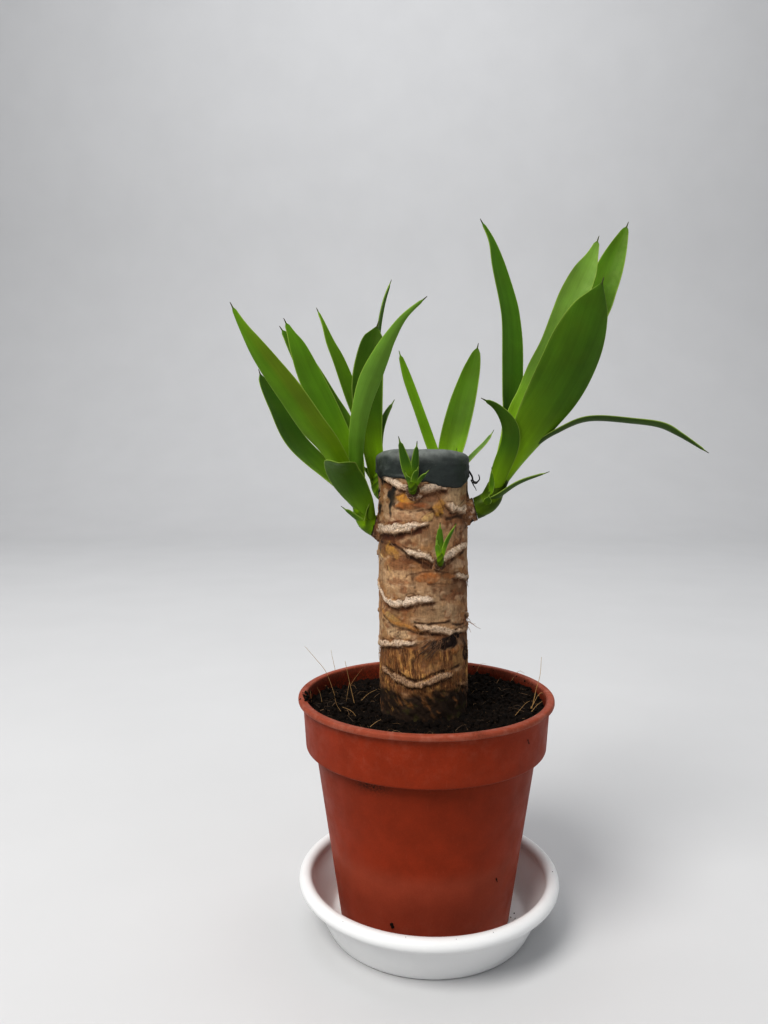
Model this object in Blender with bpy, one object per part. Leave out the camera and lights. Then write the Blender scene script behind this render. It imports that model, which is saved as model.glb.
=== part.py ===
"""Potted yucca: a cut yucca cane with four leafy shoots and two buds, in a plastic pot on a saucer.

Lengths are in millimetres where they are named, and MM turns them into metres. The origin is on
the saucer's axis, on the surface that it stands on. +Z is up, and -Y is the plant's front.
Azimuths round the cane are in degrees: 0 is the front, and positive is to the right, towards +X.
"""

import math

import bmesh
import bpy
import numpy as np
from mathutils import Matrix, Vector, noise

MM = 0.001
CLEARANCE = 0.3  # between pieces that touch

# Saucer
SAUCER_SIDES = 40
SAUCER_FOOT_RADIUS = 47.6
SAUCER_FOOT_BEVEL = 0.9
SAUCER_FLOOR = 2.2
SAUCER_WALL = 1.8
SAUCER_WALL_BASE = (49.6, 4.0)  # outer face, from the axis and above the table
SAUCER_ROLL_RADIUS = 3.2
SAUCER_ROLL_CENTRE = (58.3, 22.4)
SAUCER_WALL_TOP = (57.6, 20.5)

# Pot, a 12 cm nursery pot that stands a little off the saucer's centre
POT_SIDES = 40
POT_CENTRE = Vector((-1.5, 2.0, 0.0))
POT_BASE = SAUCER_FLOOR + CLEARANCE
POT_BASE_RADIUS = 40.2
POT_TAPER = 0.1435  # growth of the body's radius with height
POT_WALL = 1.6
POT_FLOOR = 2.0
POT_FOOT_HEIGHT = 2.5
POT_FOOT_WIDTH = 4.0
POT_BEVEL = 0.5
BODY_MIDDLE = 45.0
COLLAR_BOTTOM = 85.8
COLLAR_BOTTOM_RADIUS = 56.4
COLLAR_TOP_RADIUS = 57.8
LIP_BOTTOM = 107.2
LIP_TOP = 109.8
LIP_RADIUS = 60.0
DRAIN_HOLES = 6
DRAIN_HOLE_RADIUS = 4.0
DRAIN_RING_RADIUS = 24.0

# Cane
CANE_SIDES = 32
CANE_ROW = 3.2  # height of one row of faces where the bark shows
CANE_RADIUS = 20.5
CANE_BOTTOM = 46.0
CANE_TOP = 222.4
CANE_END_BEVEL = 2.5
CANE_AXIS_AT_100 = Vector((-2.5, 0.0, 100.0))
CANE_LEAN = -0.008  # sideways drift of the axis with height
RELIEF_BOTTOM = 106.0  # below this, and under the wax, the cane is plain
RELIEF_FADE = 5.0

STUB_SUNK = 5.0
STUB_FLARE = 1.12

# Each leaf scar is a raised crescent: azimuth and height of its lowest point, reach to either side in
# degrees, and rise of its ends. The ones from -100 to 100 degrees show at the front.
SCARS = (
    (-14, 206.0, 52, 6.0),
    (85, 196.0, 62, 4.5),
    (-85, 187.0, 86, 4.5),
    (14, 172.7, 48, 8.0),
    (85, 166.5, 52, 3.0),
    (-41, 154.4, 52, 5.0),
    (52, 141.5, 62, 4.5),
    (-85, 134.8, 76, 5.0),
    (-13, 118.7, 48, 4.8),
    (160, 203.0, 60, 5.0),
    (-150, 172.0, 60, 6.0),
    (150, 184.0, 55, 6.0),
    (172, 158.0, 60, 5.0),
    (118, 146.0, 55, 5.0),
    (-140, 146.0, 50, 5.0),
    (160, 130.0, 60, 5.0),
    (75, 115.0, 55, 4.0),
    (-120, 115.0, 55, 5.0),
)
SCAR_HEIGHT = 1.1
SCAR_THICKNESS = 3.0
NECK_DEPTH = 0.5  # hollow under each scar
NECK_BELOW = 3.2
NECK_THICKNESS = 4.0
BARK_UNEVENNESS = 0.35

# Wound wax over the cane's cut top
WAX_SIDES = 32
WAX_TOP = 224.4
WAX_INNER_RADIUS = CANE_RADIUS + 0.35
WAX_OUTER_RADIUS = 21.7
WAX_EDGE = (  # azimuth and height along its ragged lower edge
    (-170, 210.0), (-120, 212.5), (-82, 214.2), (-68, 211.2), (-53, 212.4), (-35, 212.0), (-15, 210.2),
    (2, 210.7), (17, 208.5), (37, 207.2), (51, 207.6), (75, 211.6), (110, 211.0), (150, 208.5),
)
WAX_EDGE_TOP = 215.0
WAX_MARGIN = 1.2  # plain strip of cane under the edge
WAX_BEVEL = 4.0

# Soil
SOIL_SIDES = 32
SOIL_ROWS = 6
SOIL_LEVEL = 101.8
SOIL_BUMPS = 1.6
SOIL_HOLE_RADIUS = CANE_RADIUS + 0.6
SOIL_BOTTOM = POT_BASE + POT_FOOT_HEIGHT + POT_FLOOR + CLEARANCE
SOIL_CLEARANCE = 1.5 * CLEARANCE  # to the pot's wall, whose facets come a little closer

# Blades
BLADE_THICKNESS = 0.7
BLADE_ROOT_THICKNESS = 1.3
BLADE_STEP = 10.0  # length of one row of faces
LEAST_BLADE_STEPS = 4
NARROW_BLADE = 3.3  # half width up to which two faces across do
LEAST_HALF_WIDTH = 0.35
STEM_SIDES = 12

MATERIALS = {
    "saucer": ((0.80, 0.80, 0.80), 0.35),
    "pot": ((0.29, 0.055, 0.030), 0.45),
    "soil": ((0.012, 0.008, 0.006), 0.95),
    "cane": ((0.30, 0.18, 0.10), 0.85),
    "wound_wax": ((0.035, 0.042, 0.045), 0.55),
    "leaf": ((0.07, 0.19, 0.02), 0.40),
}

# Each blade: (x, y, z, half width) along its centre line from root to tip, reach of the root round the
# stem in degrees, curl of the open blade in degrees, and the way that its inner face looks.
SHOOT_LEFT = {
    "root": (-23.7, 1.0, 188.3),
    "way": (-0.97, -0.05, 0.25),
    "stub": (4.9, 2.4),
    "stem": ((-30.0, 0.0, 192.5), (-32.3, -1.0, 198.5), (-34.3, -1.5, 206.0)),
    "stem_radii": (4.7, 4.4, 3.6, 2.6),
    "blades": (
        (((-34, -4, 202, 4.3), (-44.6, -12, 223.4, 5.7), (-53.5, -18, 235.4, 6.7), (-62.0, -23, 248.6, 6.4),
          (-69.7, -25, 259, 5.5), (-75.5, -27, 267.4, 4.2), (-81.1, -27.5, 276.6, 2.1),
          (-86, -28, 286.2, 0.4)),
         80, 22, (0.3, 0.9, 0.3)),
        (((-33, 0, 199, 4.3), (-48.8, 3, 213.6, 6.8), (-62.8, 5, 227.4, 7.9), (-71.8, 7, 243.2, 6.0),
          (-77.2, 8, 254, 3.7), (-80, 9, 262, 0.4)),
         80, 25, (0.6, -0.5, 0.5)),
        (((-34, 0, 203, 4), (-39, 2, 222, 5.6), (-46, 3, 238, 6.3), (-54.9, 3, 256.3, 6.1),
          (-60.6, 2, 270.3, 4.3), (-64, 1.5, 277.6, 2), (-67, 1, 284.2, 0.4)),
         80, 22, (0.35, -0.9, 0.2)),
        (((-33, 2, 203, 4), (-38, 8, 229, 5.6), (-48.4, 12, 247.4, 5.6), (-60, 15, 266.6, 4.6),
          (-71, 17, 283, 0.4)),
         80, 22, (0.3, -0.95, 0.1)),
        (((-33, -3, 202, 3.6), (-33.4, -5, 220, 3.8), (-32.8, -8, 232.7, 4.2), (-30.6, -10, 244.2, 4.8),
          (-27.1, -12, 254.7, 5.5), (-22.7, -14, 264.5, 4.6), (-18.5, -15, 273, 3.1), (-12, -15, 282.6, 1.5),
          (-2.4, -15, 291, 0.4)),
         80, 28, (-0.4, 0.9, 0.2)),
        (((-28.5, -3, 192, 4.2), (-32.6, -7, 201, 6.6), (-36.9, -12, 208.6, 8.3), (-39.6, -17, 213.8, 7.7),
          (-40.4, -23, 217.4, 4.6), (-40.6, -27.5, 218.8, 0.4)),
         80, 25, (0.1, 0.7, 0.7)),
        (((-28, -2, 189.5, 2.4), (-32, -3, 191.5, 2.4), (-36.5, -3.3, 195, 1.7), (-41, -3.5, 198.5, 0.4)),
         70, 30, (0.5, 0.6, 0.6)),
        (((-29.5, -4, 192, 1.6), (-28.6, -6, 197, 1.2), (-27.6, -7, 201, 0.4)),
         60, 30, (-0.9, 0.3, 0.0)),
        (((-31.5, 1, 200, 1.5), (-31.8, 1, 208, 1.1), (-31.8, 0, 214.5, 0.4)),
         60, 30, (-0.8, 0.5, 0.0)),
    ),
}
SHOOT_BACK_LEFT = {
    "root": (-19.9, 12.0, 202.6),
    "way": (-0.78, 0.57, 0.25),
    "stub": (3.9, 2.2),
    "stem": ((-24.0, 15.2, 206.5), (-24.8, 17.5, 212.0)),
    "stem_radii": (3.7, 3.3, 2.4),
    "blades": (
        (((-24, 16, 207, 4.2), (-25.7, 16, 219.4, 4.8), (-27.2, 16, 229, 5.4), (-28.8, 15, 243.2, 7.1),
          (-29, 14, 257.3, 7.6), (-27.2, 14, 271.3, 6.3), (-25.6, 14.5, 278.3, 4.3), (-23.8, 15, 285, 0.4)),
         80, 26, (0.0, -1.0, 0.1)),
        (((-24, 18, 208, 2.6), (-29.1, 23, 228.8, 3.8), (-36.8, 26, 249.6, 4.2), (-43.3, 28, 266.8, 3.5),
          (-47.8, 29, 276.9, 2.4), (-51, 30, 286, 1.1), (-54.5, 31, 294, 0.4)),
         80, 25, (0.4, -0.8, 0.3)),
        (((-24, 18, 208, 2.6), (-25, 26, 248, 3.4), (-24.5, 29, 278, 3.1), (-22, 31, 295, 2.2),
          (-17.5, 33, 308, 0.4)),
         80, 25, (0.95, -0.25, 0.0)),
        (((-23.5, 19, 208, 1.6), (-23, 25, 229, 1.5), (-21, 27, 239.5, 1.6), (-16, 29, 249, 0.4)),
         80, 30, (-0.3, -0.9, 0.0)),
        (((-23.5, 15.5, 206, 2), (-27.5, 15, 212, 1.9), (-32, 15, 217.5, 0.4)),
         60, 25, (0.2, -0.8, 0.6)),
    ),
}
SHOOT_BACK = {
    "root": (6.6, 17.9, 202.6),
    "way": (0.47, 0.85, 0.25),
    "stub": (4.0, 2.3),
    "stem": ((8.9, 23.6, 206.5), (9.6, 25.6, 212.0)),
    "stem_radii": (3.8, 3.4, 2.6),
    "blades": (
        (((8.5, 24.8, 208, 2.6), (2.9, 31.5, 224.6, 2.9), (-3.6, 35, 243.3, 2.7), (-8.9, 37, 258.3, 2.5),
          (-11.8, 37.5, 267.4, 1.6), (-13.7, 38, 274, 0.4)),
         80, 25, (0.3, -0.95, 0.1)),
        (((9.5, 24.8, 208, 4.2), (12.8, 33, 224.6, 6.8), (17.6, 37, 244.2, 6.9), (22.1, 39, 260.3, 5.2),
          (24.6, 39.5, 269.4, 3.3), (26.5, 40, 278, 0.4)),
         80, 22, (-0.3, -0.9, 0.1)),
        (((10.5, 24.5, 206.5, 2.3), (15.5, 28, 212.7, 2.6), (23.2, 31, 221.1, 2.7), (30.0, 33, 228.1, 2.0),
          (34, 34, 234.2, 0.4)),
         80, 25, (-0.6, -0.3, 0.7)),
        (((10, 24, 207, 1.6), (13, 26.5, 215, 1.2), (14.8, 27, 225, 0.4)),
         60, 25, (0.0, -1.0, 0.0)),
    ),
}
SHOOT_RIGHT = {
    "root": (17.0, -3.4, 196.4),
    "way": (0.96, -0.12, 0.25),
    "stub": (5.1, 3.7),
    "stem": ((26.8, -5.0, 201.0), (31.2, -6.0, 210.0), (35.5, -6.5, 218.5)),
    "stem_radii": (4.9, 4.8, 4.0, 2.6),
    "blades": (
        (((30, -2, 207, 4), (35, 3, 224, 4.6), (37.9, 6.5, 238, 5), (38.6, 9, 252, 5.5), (38.8, 11, 271, 5.6),
          (38, 12, 285, 5), (36.3, 12, 294.5, 4.6), (32, 11.5, 310.3, 3.5), (28.6, 11, 321.6, 1.6),
          (23.3, 10, 331, 0.4)),
         80, 25, (0.3, -0.9, 0.0)),
        (((31, -3, 208, 4.2), (39.5, 3, 238, 4.6), (45.3, 5, 249.6, 5), (51.5, 7, 261.4, 6),
          (57.8, 9, 273.1, 6.1), (63.6, 11, 287.2, 6.4), (67.9, 12, 296.6, 6.8), (73, 13, 307.2, 5.7),
          (76.7, 13.5, 315.6, 2.7), (79.6, 14, 324.2, 0.4)),
         80, 22, (-0.2, -0.95, 0.2)),
        (((32, -2, 209, 4.2), (44, 9, 232.5, 5), (63, 18, 260, 6.5), (79.5, 24, 289, 7.5),
          (84.7, 26, 301.6, 7.3), (88.9, 28, 312.5, 6.6), (93, 29, 322.7, 4.4), (98, 30, 335, 0.4)),
         80, 22, (-0.3, -0.9, 0.1)),
        (((30, -8, 206, 4.6), (37.3, -11, 219.3, 6.5), (43.1, -14, 229.8, 9.0), (48.8, -17, 240.1, 11.8),
          (54.4, -19, 250.1, 13.7), (59.8, -21, 261.1, 14.2), (63.9, -23, 271.7, 13.3),
          (67.3, -24, 282.7, 9.9), (70.2, -25, 291.8, 4.1), (71.9, -25, 297.2, 0.5)),
         80, 20, (-0.3, 0.9, 0.3)),
        (((27.5, -8, 204, 3.6), (30.5, -12, 215, 4.3), (34.1, -16, 226.5, 4.4), (33.5, -18, 235, 3.7),
          (28, -20, 242.5, 1.8), (20.6, -23, 246.5, 0.4)),
         80, 28, (0.4, 0.85, 0.2)),
        (((30, -6, 205, 3.6), (37.5, -8, 217, 3.6), (49.5, -9, 227.8, 2.8), (57.5, -10, 232.6, 3.0),
          (66.5, -11, 236.6, 3.5), (75, -12, 237.6, 3.5), (88, -13, 236.5, 3.3), (101, -14, 234.6, 3.1),
          (110, -14, 230.6, 1.9), (123, -14, 222.8, 0.4)),
         80, 34, (-0.2, 0.3, 0.93)),
        (((24.5, -6, 198.5, 3), (31, -9, 203.3, 2.9), (40, -10, 209.4, 2.3), (53, -11, 214.5, 0.4)),
         80, 34, (-0.3, 0.35, 0.85)),
        (((26, -8.5, 202, 1.6), (27.4, -9.7, 209, 1.3), (27.3, -9.7, 216.5, 0.4)),
         60, 30, (0.6, 0.7, 0.0)),
        (((25, -9, 199.5, 2), (25.8, -11, 202.5, 1.6), (26.3, -11.7, 205.8, 0.4)),
         60, 30, (0.2, 0.9, 0.2)),
    ),
}
BUD_UPPER = {
    "root": (-8.2, -19.7, 205.8),
    "way": (-0.22, -0.93, 0.3),
    "stub": (2.8, 2.2),
    "stem": ((-8.8, -24.4, 208.6), (-8.8, -24.9, 212.0)),
    "stem_radii": (2.6, 2.4, 1.5),
    "blades": (
        (((-9, -24.4, 209, 1.8), (-11.7, -25.3, 217.5, 2.5), (-15, -25.7, 230, 0.4)),
         70, 30, (0.2, 0.9, 0.2)),
        (((-8.2, -24.4, 209, 1.4), (-7.8, -25.3, 218, 1.9), (-7, -26.2, 228, 0.4)),
         70, 30, (-0.2, 0.9, 0.0)),
        (((-9.5, -24.6, 208.5, 1.3), (-11, -26, 212, 1.4), (-12.4, -27, 215.5, 0.4)),
         60, 30, (0.5, 0.7, 0.3)),
        (((-8.6, -25.2, 208.5, 1.4), (-7.8, -27, 213, 1.5), (-6.2, -28.4, 218, 0.4)),
         60, 30, (-0.2, 0.9, 0.3)),
        (((-7.8, -24.6, 208.5, 1.4), (-5, -25.4, 212, 1.5), (-1.5, -26.4, 216, 0.4)),
         60, 30, (-0.6, 0.6, 0.4)),
    ),
}
BUD_LOWER = {
    "root": (2.9, -19.2, 173.6),
    "way": (0.28, -0.91, 0.3),
    "stub": (2.3, 2.0),
    "stem": ((3.4, -23.6, 176.2), (3.3, -24.0, 179.5)),
    "stem_radii": (2.1, 2.0, 1.2),
    "blades": (
        (((3.3, -23.8, 177, 1.3), (3.0, -24.4, 184, 1.8), (3.1, -25.2, 193, 0.4)),
         70, 30, (0.0, 0.9, 0.1)),
        (((3.9, -23.8, 177, 1.1), (6, -24.4, 184, 1.3), (10.2, -24.8, 192.5, 0.4)),
         60, 30, (-0.5, 0.7, 0.2)),
        (((2.9, -24.2, 177, 1.1), (2.0, -25.1, 181.5, 1.2), (1.8, -25.6, 186, 0.4)),
         60, 30, (0.3, 0.8, 0.2)),
    ),
}
SHOOTS = {
    "shoot_left": SHOOT_LEFT,
    "shoot_back_left": SHOOT_BACK_LEFT,
    "shoot_back": SHOOT_BACK,
    "shoot_right": SHOOT_RIGHT,
    "bud_upper": BUD_UPPER,
    "bud_lower": BUD_LOWER,
}


def clear_scene():
    for obj in list(bpy.data.objects):
        bpy.data.objects.remove(obj)


def make_material(name):
    colour, roughness = MATERIALS[name]
    material = bpy.data.materials.new(name)
    material.use_nodes = True
    shader = material.node_tree.nodes["Principled BSDF"]
    shader.inputs["Base Color"].default_value = (*colour, 1.0)
    shader.inputs["Roughness"].default_value = roughness
    shader.inputs["Metallic"].default_value = 0.0
    return material


def add_object(name, mesh_data, material=None, collection=None):
    """An object from a bmesh in millimetres, with its origin at the world's."""
    bmesh.ops.scale(mesh_data, vec=(MM, MM, MM), verts=mesh_data.verts)
    bmesh.ops.recalc_face_normals(mesh_data, faces=mesh_data.faces)
    mesh = bpy.data.meshes.new(name)
    mesh_data.to_mesh(mesh)
    mesh_data.free()
    obj = bpy.data.objects.new(name, mesh)
    (collection or bpy.context.scene.collection).objects.link(obj)
    if material:
        mesh.materials.append(material)
    return obj


def apply_modifiers(obj):
    graph = bpy.context.evaluated_depsgraph_get()
    mesh = bpy.data.meshes.new_from_object(obj.evaluated_get(graph))
    obj.modifiers.clear()
    obj.data = mesh


def join_or_cut(obj, pieces, operation, solver="EXACT"):
    """Joins the pieces' collection to the object, or cuts it out, and removes the pieces."""
    boolean = obj.modifiers.new("join", "BOOLEAN")
    boolean.operation = operation
    boolean.operand_type = "COLLECTION"
    boolean.collection = pieces
    boolean.solver = solver
    bpy.context.view_layer.update()
    apply_modifiers(obj)
    for piece in list(pieces.objects):
        bpy.data.objects.remove(piece)
    bpy.data.collections.remove(pieces)


def new_collection(name):
    collection = bpy.data.collections.new(name)
    bpy.context.scene.collection.children.link(collection)
    return collection


def shade(obj, angle=35):
    obj.data.shade_smooth()
    obj.data.set_sharp_from_angle(angle=math.radians(angle))


def turned(profile, sides, centre=Vector((0.0, 0.0, 0.0))):
    """A closed profile of (radius, height) points, turned round a vertical axis at the centre."""
    mesh_data = bmesh.new()
    points = [mesh_data.verts.new((radius, 0.0, height)) for radius, height in profile]
    edges = [mesh_data.edges.new((a, b)) for a, b in zip(points, points[1:])]
    on_axis = profile[0][0] == 0 and profile[-1][0] == 0
    if not on_axis:
        edges.append(mesh_data.edges.new((points[-1], points[0])))
    bmesh.ops.spin(mesh_data, geom=points + edges, cent=(0, 0, 0), axis=(0, 0, 1),
                   angle=2 * math.pi, steps=sides, use_merge=True)
    bmesh.ops.remove_doubles(mesh_data, verts=mesh_data.verts, dist=0.001)
    bmesh.ops.translate(mesh_data, vec=centre, verts=mesh_data.verts)
    return mesh_data


def arc(centre, radius, start, end, steps):
    """Points on an arc, from one angle to another in degrees."""
    angles = [math.radians(start + (end - start) * i / steps) for i in range(steps + 1)]
    return [(centre[0] + radius * math.cos(a), centre[1] + radius * math.sin(a)) for a in angles]


def saucer():
    """A shallow dish with a rolled rim and a flat underside."""
    base_r, base_z = SAUCER_WALL_BASE
    top_r, top_z = SAUCER_WALL_TOP
    profile = [(0.0, 0.0), (SAUCER_FOOT_RADIUS - SAUCER_FOOT_BEVEL, 0.0)]
    profile += [(SAUCER_FOOT_RADIUS, SAUCER_FOOT_BEVEL), SAUCER_WALL_BASE, SAUCER_WALL_TOP]
    profile += arc(SAUCER_ROLL_CENTRE, SAUCER_ROLL_RADIUS, -60, 200, 7)
    profile += [(top_r - 2 * SAUCER_WALL, top_z - SAUCER_ROLL_RADIUS)]
    profile += [(base_r - SAUCER_WALL, base_z + SAUCER_WALL / 3)]
    profile += [(base_r - 2.6 * SAUCER_WALL, SAUCER_FLOOR), (0.0, SAUCER_FLOOR)]
    obj = add_object("saucer", turned(profile, SAUCER_SIDES), make_material("saucer"))
    shade(obj)


def body_radius(height):
    """Outer radius of the pot's tapering body at a height."""
    return POT_BASE_RADIUS + POT_TAPER * (height - POT_BASE)


def pot_inner_radius(height):
    """Inner radius of the pot at a height, for its body and its collar."""
    if height < COLLAR_BOTTOM + POT_WALL:
        return body_radius(height) - POT_WALL
    part = (height - COLLAR_BOTTOM) / (LIP_BOTTOM - COLLAR_BOTTOM)
    return COLLAR_BOTTOM_RADIUS + (COLLAR_TOP_RADIUS - COLLAR_BOTTOM_RADIUS) * part - POT_WALL


def pot():
    """A tapering pot with a stepped collar, a narrow lip and drain holes."""
    floor = POT_BASE + POT_FOOT_HEIGHT
    foot_inner = POT_BASE_RADIUS - POT_FOOT_WIDTH
    inner_step = COLLAR_BOTTOM + POT_WALL
    lip_mid = (LIP_BOTTOM + LIP_TOP) / 2
    inner_heights = (LIP_BOTTOM, inner_step, inner_step - 2 * POT_BEVEL, BODY_MIDDLE, floor + POT_FLOOR)
    profile = [(0.0, floor), (foot_inner, floor), (foot_inner + POT_BEVEL, POT_BASE)]
    profile += [(body_radius(h), h) for h in (POT_BASE, BODY_MIDDLE, COLLAR_BOTTOM)]
    profile += [(COLLAR_BOTTOM_RADIUS - POT_BEVEL, COLLAR_BOTTOM)]
    profile += [(COLLAR_BOTTOM_RADIUS, COLLAR_BOTTOM + POT_BEVEL), (COLLAR_TOP_RADIUS, LIP_BOTTOM)]
    profile += [(LIP_RADIUS - POT_BEVEL, LIP_BOTTOM), (LIP_RADIUS, lip_mid)]
    profile += [(LIP_RADIUS - POT_BEVEL, LIP_TOP)]
    profile += [(COLLAR_TOP_RADIUS - POT_WALL + POT_BEVEL, LIP_TOP)]
    profile += [(pot_inner_radius(h), h) for h in inner_heights]
    profile += [(0.0, floor + POT_FLOOR)]
    obj = add_object("pot", turned(profile, POT_SIDES, POT_CENTRE), make_material("pot"))
    cutters = new_collection("drain_cutters")
    for i in range(DRAIN_HOLES):
        turn = 2 * math.pi * (i + 0.5) / DRAIN_HOLES
        place = POT_CENTRE + DRAIN_RING_RADIUS * Vector((math.cos(turn), math.sin(turn), 0))
        place.z = floor + POT_FLOOR / 2
        cutter = bmesh.new()
        bmesh.ops.create_cone(cutter, cap_ends=True, segments=12, depth=3 * POT_FLOOR,
                              radius1=DRAIN_HOLE_RADIUS, radius2=DRAIN_HOLE_RADIUS,
                              matrix=Matrix.Translation(place))
        hole = add_object(f"drain_cutter_{i}", cutter, collection=cutters)
        hole.hide_render = True
        hole.display_type = "WIRE"
    join_or_cut(obj, cutters, "DIFFERENCE")
    shade(obj)


def cane_axis(height):
    return Vector((CANE_AXIS_AT_100.x + CANE_LEAN * (height - CANE_AXIS_AT_100.z), 0.0, height))


def azimuth_way(azimuth):
    return Vector((math.sin(math.radians(azimuth)), -math.cos(math.radians(azimuth)), 0.0))


def turn_between(a, b):
    """Signed difference of two azimuths, in degrees."""
    return (a - b + 180) % 360 - 180


def wax_edge(azimuth):
    """Height of the wax's ragged lower edge: higher on the left, lowest at the front right."""
    azimuths, heights = zip(*WAX_EDGE)
    return float(np.interp(azimuth, azimuths, heights, period=360))


def bark(azimuth, height):
    """How far the bark stands proud of the plain cane: scar ridges with a hollow below each."""
    under_wax = wax_edge(azimuth) - WAX_MARGIN - height
    fade = min(1.0, max(0.0, under_wax / 2)) * min(1.0, max(0.0, (height - RELIEF_BOTTOM) / RELIEF_FADE))
    proud = BARK_UNEVENNESS * noise.noise(Vector((math.radians(azimuth) * 2.2, height * 0.09, 3.0)))
    for centre, low, reach, rise in SCARS:
        away = abs(turn_between(azimuth, centre)) / reach
        if away < 1.15:
            offset = height - (low + rise * away ** 1.3)
            strength = min(1.0, (1.15 - away) / 0.3)
            ridge = SCAR_HEIGHT * math.exp(-((2 * offset / SCAR_THICKNESS) ** 2))
            hollow = NECK_DEPTH * math.exp(-((2 * (offset + NECK_BELOW) / NECK_THICKNESS) ** 2))
            proud += strength * (ridge - hollow)
    return fade * proud


def cane():
    """The cut cane with its raised leaf scars and the woody stub under each shoot."""
    rows = round((WAX_EDGE_TOP - RELIEF_BOTTOM) / CANE_ROW)
    heights = [CANE_BOTTOM, CANE_BOTTOM + CANE_END_BEVEL]
    heights += [RELIEF_BOTTOM + (WAX_EDGE_TOP - RELIEF_BOTTOM) * i / rows for i in range(rows + 1)]
    heights += [CANE_TOP - CANE_END_BEVEL, CANE_TOP]
    mesh_data = bmesh.new()
    rings = []
    for height in heights:
        bevel = CANE_END_BEVEL if height in (CANE_BOTTOM, CANE_TOP) else 0.0
        radii = [CANE_RADIUS - bevel + bark(azimuth, height) for azimuth in azimuths(CANE_SIDES)]
        rings.append(ring_round(mesh_data, cane_axis(height), radii))
    bridge_rings(mesh_data, rings)
    obj = add_object("cane", mesh_data, make_material("cane"))
    stubs = new_collection("stubs")
    for name, shoot in SHOOTS.items():
        radius, length = shoot["stub"]
        way = Vector(shoot["way"]).normalized()
        root = Vector(shoot["root"])
        spine = [root - STUB_SUNK * way, root + length * way]
        stub = tube(spine, [STUB_FLARE * radius, radius], STEM_SIDES)
        add_object(name + "_stub", stub, collection=stubs)
    join_or_cut(obj, stubs, "UNION")
    shade(obj)


def azimuths(sides):
    return [360 * i / sides for i in range(sides)]


def ring_round(mesh_data, centre, radii, heights=None):
    """A ring of points round a vertical axis, with a radius and perhaps a height for each."""
    ring = []
    for i, (azimuth, radius) in enumerate(zip(azimuths(len(radii)), radii)):
        place = centre + radius * azimuth_way(azimuth)
        if heights:
            place.z = heights[i]
        ring.append(mesh_data.verts.new(place))
    return ring


def bridge_rings(mesh_data, rings):
    """Closes rings of the same number of points into a solid, with its faces split alike all round."""
    for lower, upper in zip(rings, rings[1:]):
        count = len(lower)
        for i in range(count):
            j = (i + 1) % count
            mesh_data.faces.new((lower[i], lower[j], upper[j]))
            mesh_data.faces.new((lower[i], upper[j], upper[i]))
    mesh_data.faces.new(rings[0])
    mesh_data.faces.new(rings[-1])


def tube(spine, radii, sides, first_way=None):
    """A closed tube along points, with a radius at each. Its first end can be square to a given way."""
    mesh_data = bmesh.new()
    rings = []
    count = len(spine)
    turns = [2 * math.pi * k / sides for k in range(sides)]
    for i, (point, radius) in enumerate(zip(spine, radii)):
        along = (spine[min(i + 1, count - 1)] - spine[max(i - 1, 0)]).normalized()
        if i == 0 and first_way:
            along = first_way
        side = along.cross(Vector((0.0, 1.0, 0.001))).normalized()
        other = along.cross(side)
        ways = [math.cos(t) * side + math.sin(t) * other for t in turns]
        rings.append([mesh_data.verts.new(point + radius * way) for way in ways])
    bridge_rings(mesh_data, rings)
    return mesh_data


def wound_wax():
    """The wax skin over the cut top: a shallow upturned cup with a ragged edge."""
    inner_top = CANE_TOP + CLEARANCE
    bevel_centre = (WAX_OUTER_RADIUS - WAX_BEVEL, WAX_TOP - WAX_BEVEL)
    edge = [wax_edge(azimuth) for azimuth in azimuths(WAX_SIDES)]
    profile = [(WAX_OUTER_RADIUS / 2, WAX_TOP)] + arc(bevel_centre, WAX_BEVEL, 90, 0, 4)
    profile += [(WAX_OUTER_RADIUS, None), (WAX_INNER_RADIUS, None)]
    profile += [(WAX_INNER_RADIUS, inner_top - CANE_END_BEVEL)]
    profile += [(WAX_INNER_RADIUS - CANE_END_BEVEL, inner_top), (WAX_INNER_RADIUS / 2, inner_top)]
    mesh_data = bmesh.new()
    rings = []
    for radius, height in profile:
        heights = edge if height is None else [height] * WAX_SIDES
        centre = cane_axis(WAX_EDGE_TOP)
        rings.append(ring_round(mesh_data, centre, [radius] * WAX_SIDES, heights))
    bridge_rings(mesh_data, rings)
    obj = add_object("wound_wax", mesh_data, make_material("wound_wax"))
    shade(obj)


def soil_height(place):
    """Height of the uneven soil: low behind on the left, higher to the right and at the left edge."""
    x, y = place.x - POT_CENTRE.x, place.y - POT_CENTRE.y
    tilt = 2.2 * max(0.0, (x + 0.6 * y) / 55) + 2.5 * max(0.0, (-x - 0.3 * y - 35) / 20)
    bumps = noise.noise(Vector((x * 0.11, y * 0.11, 7.0)))
    bumps += 0.6 * noise.noise(Vector((x * 0.3, y * 0.3, 2.0)))
    return SOIL_LEVEL + tilt + SOIL_BUMPS * bumps


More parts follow.
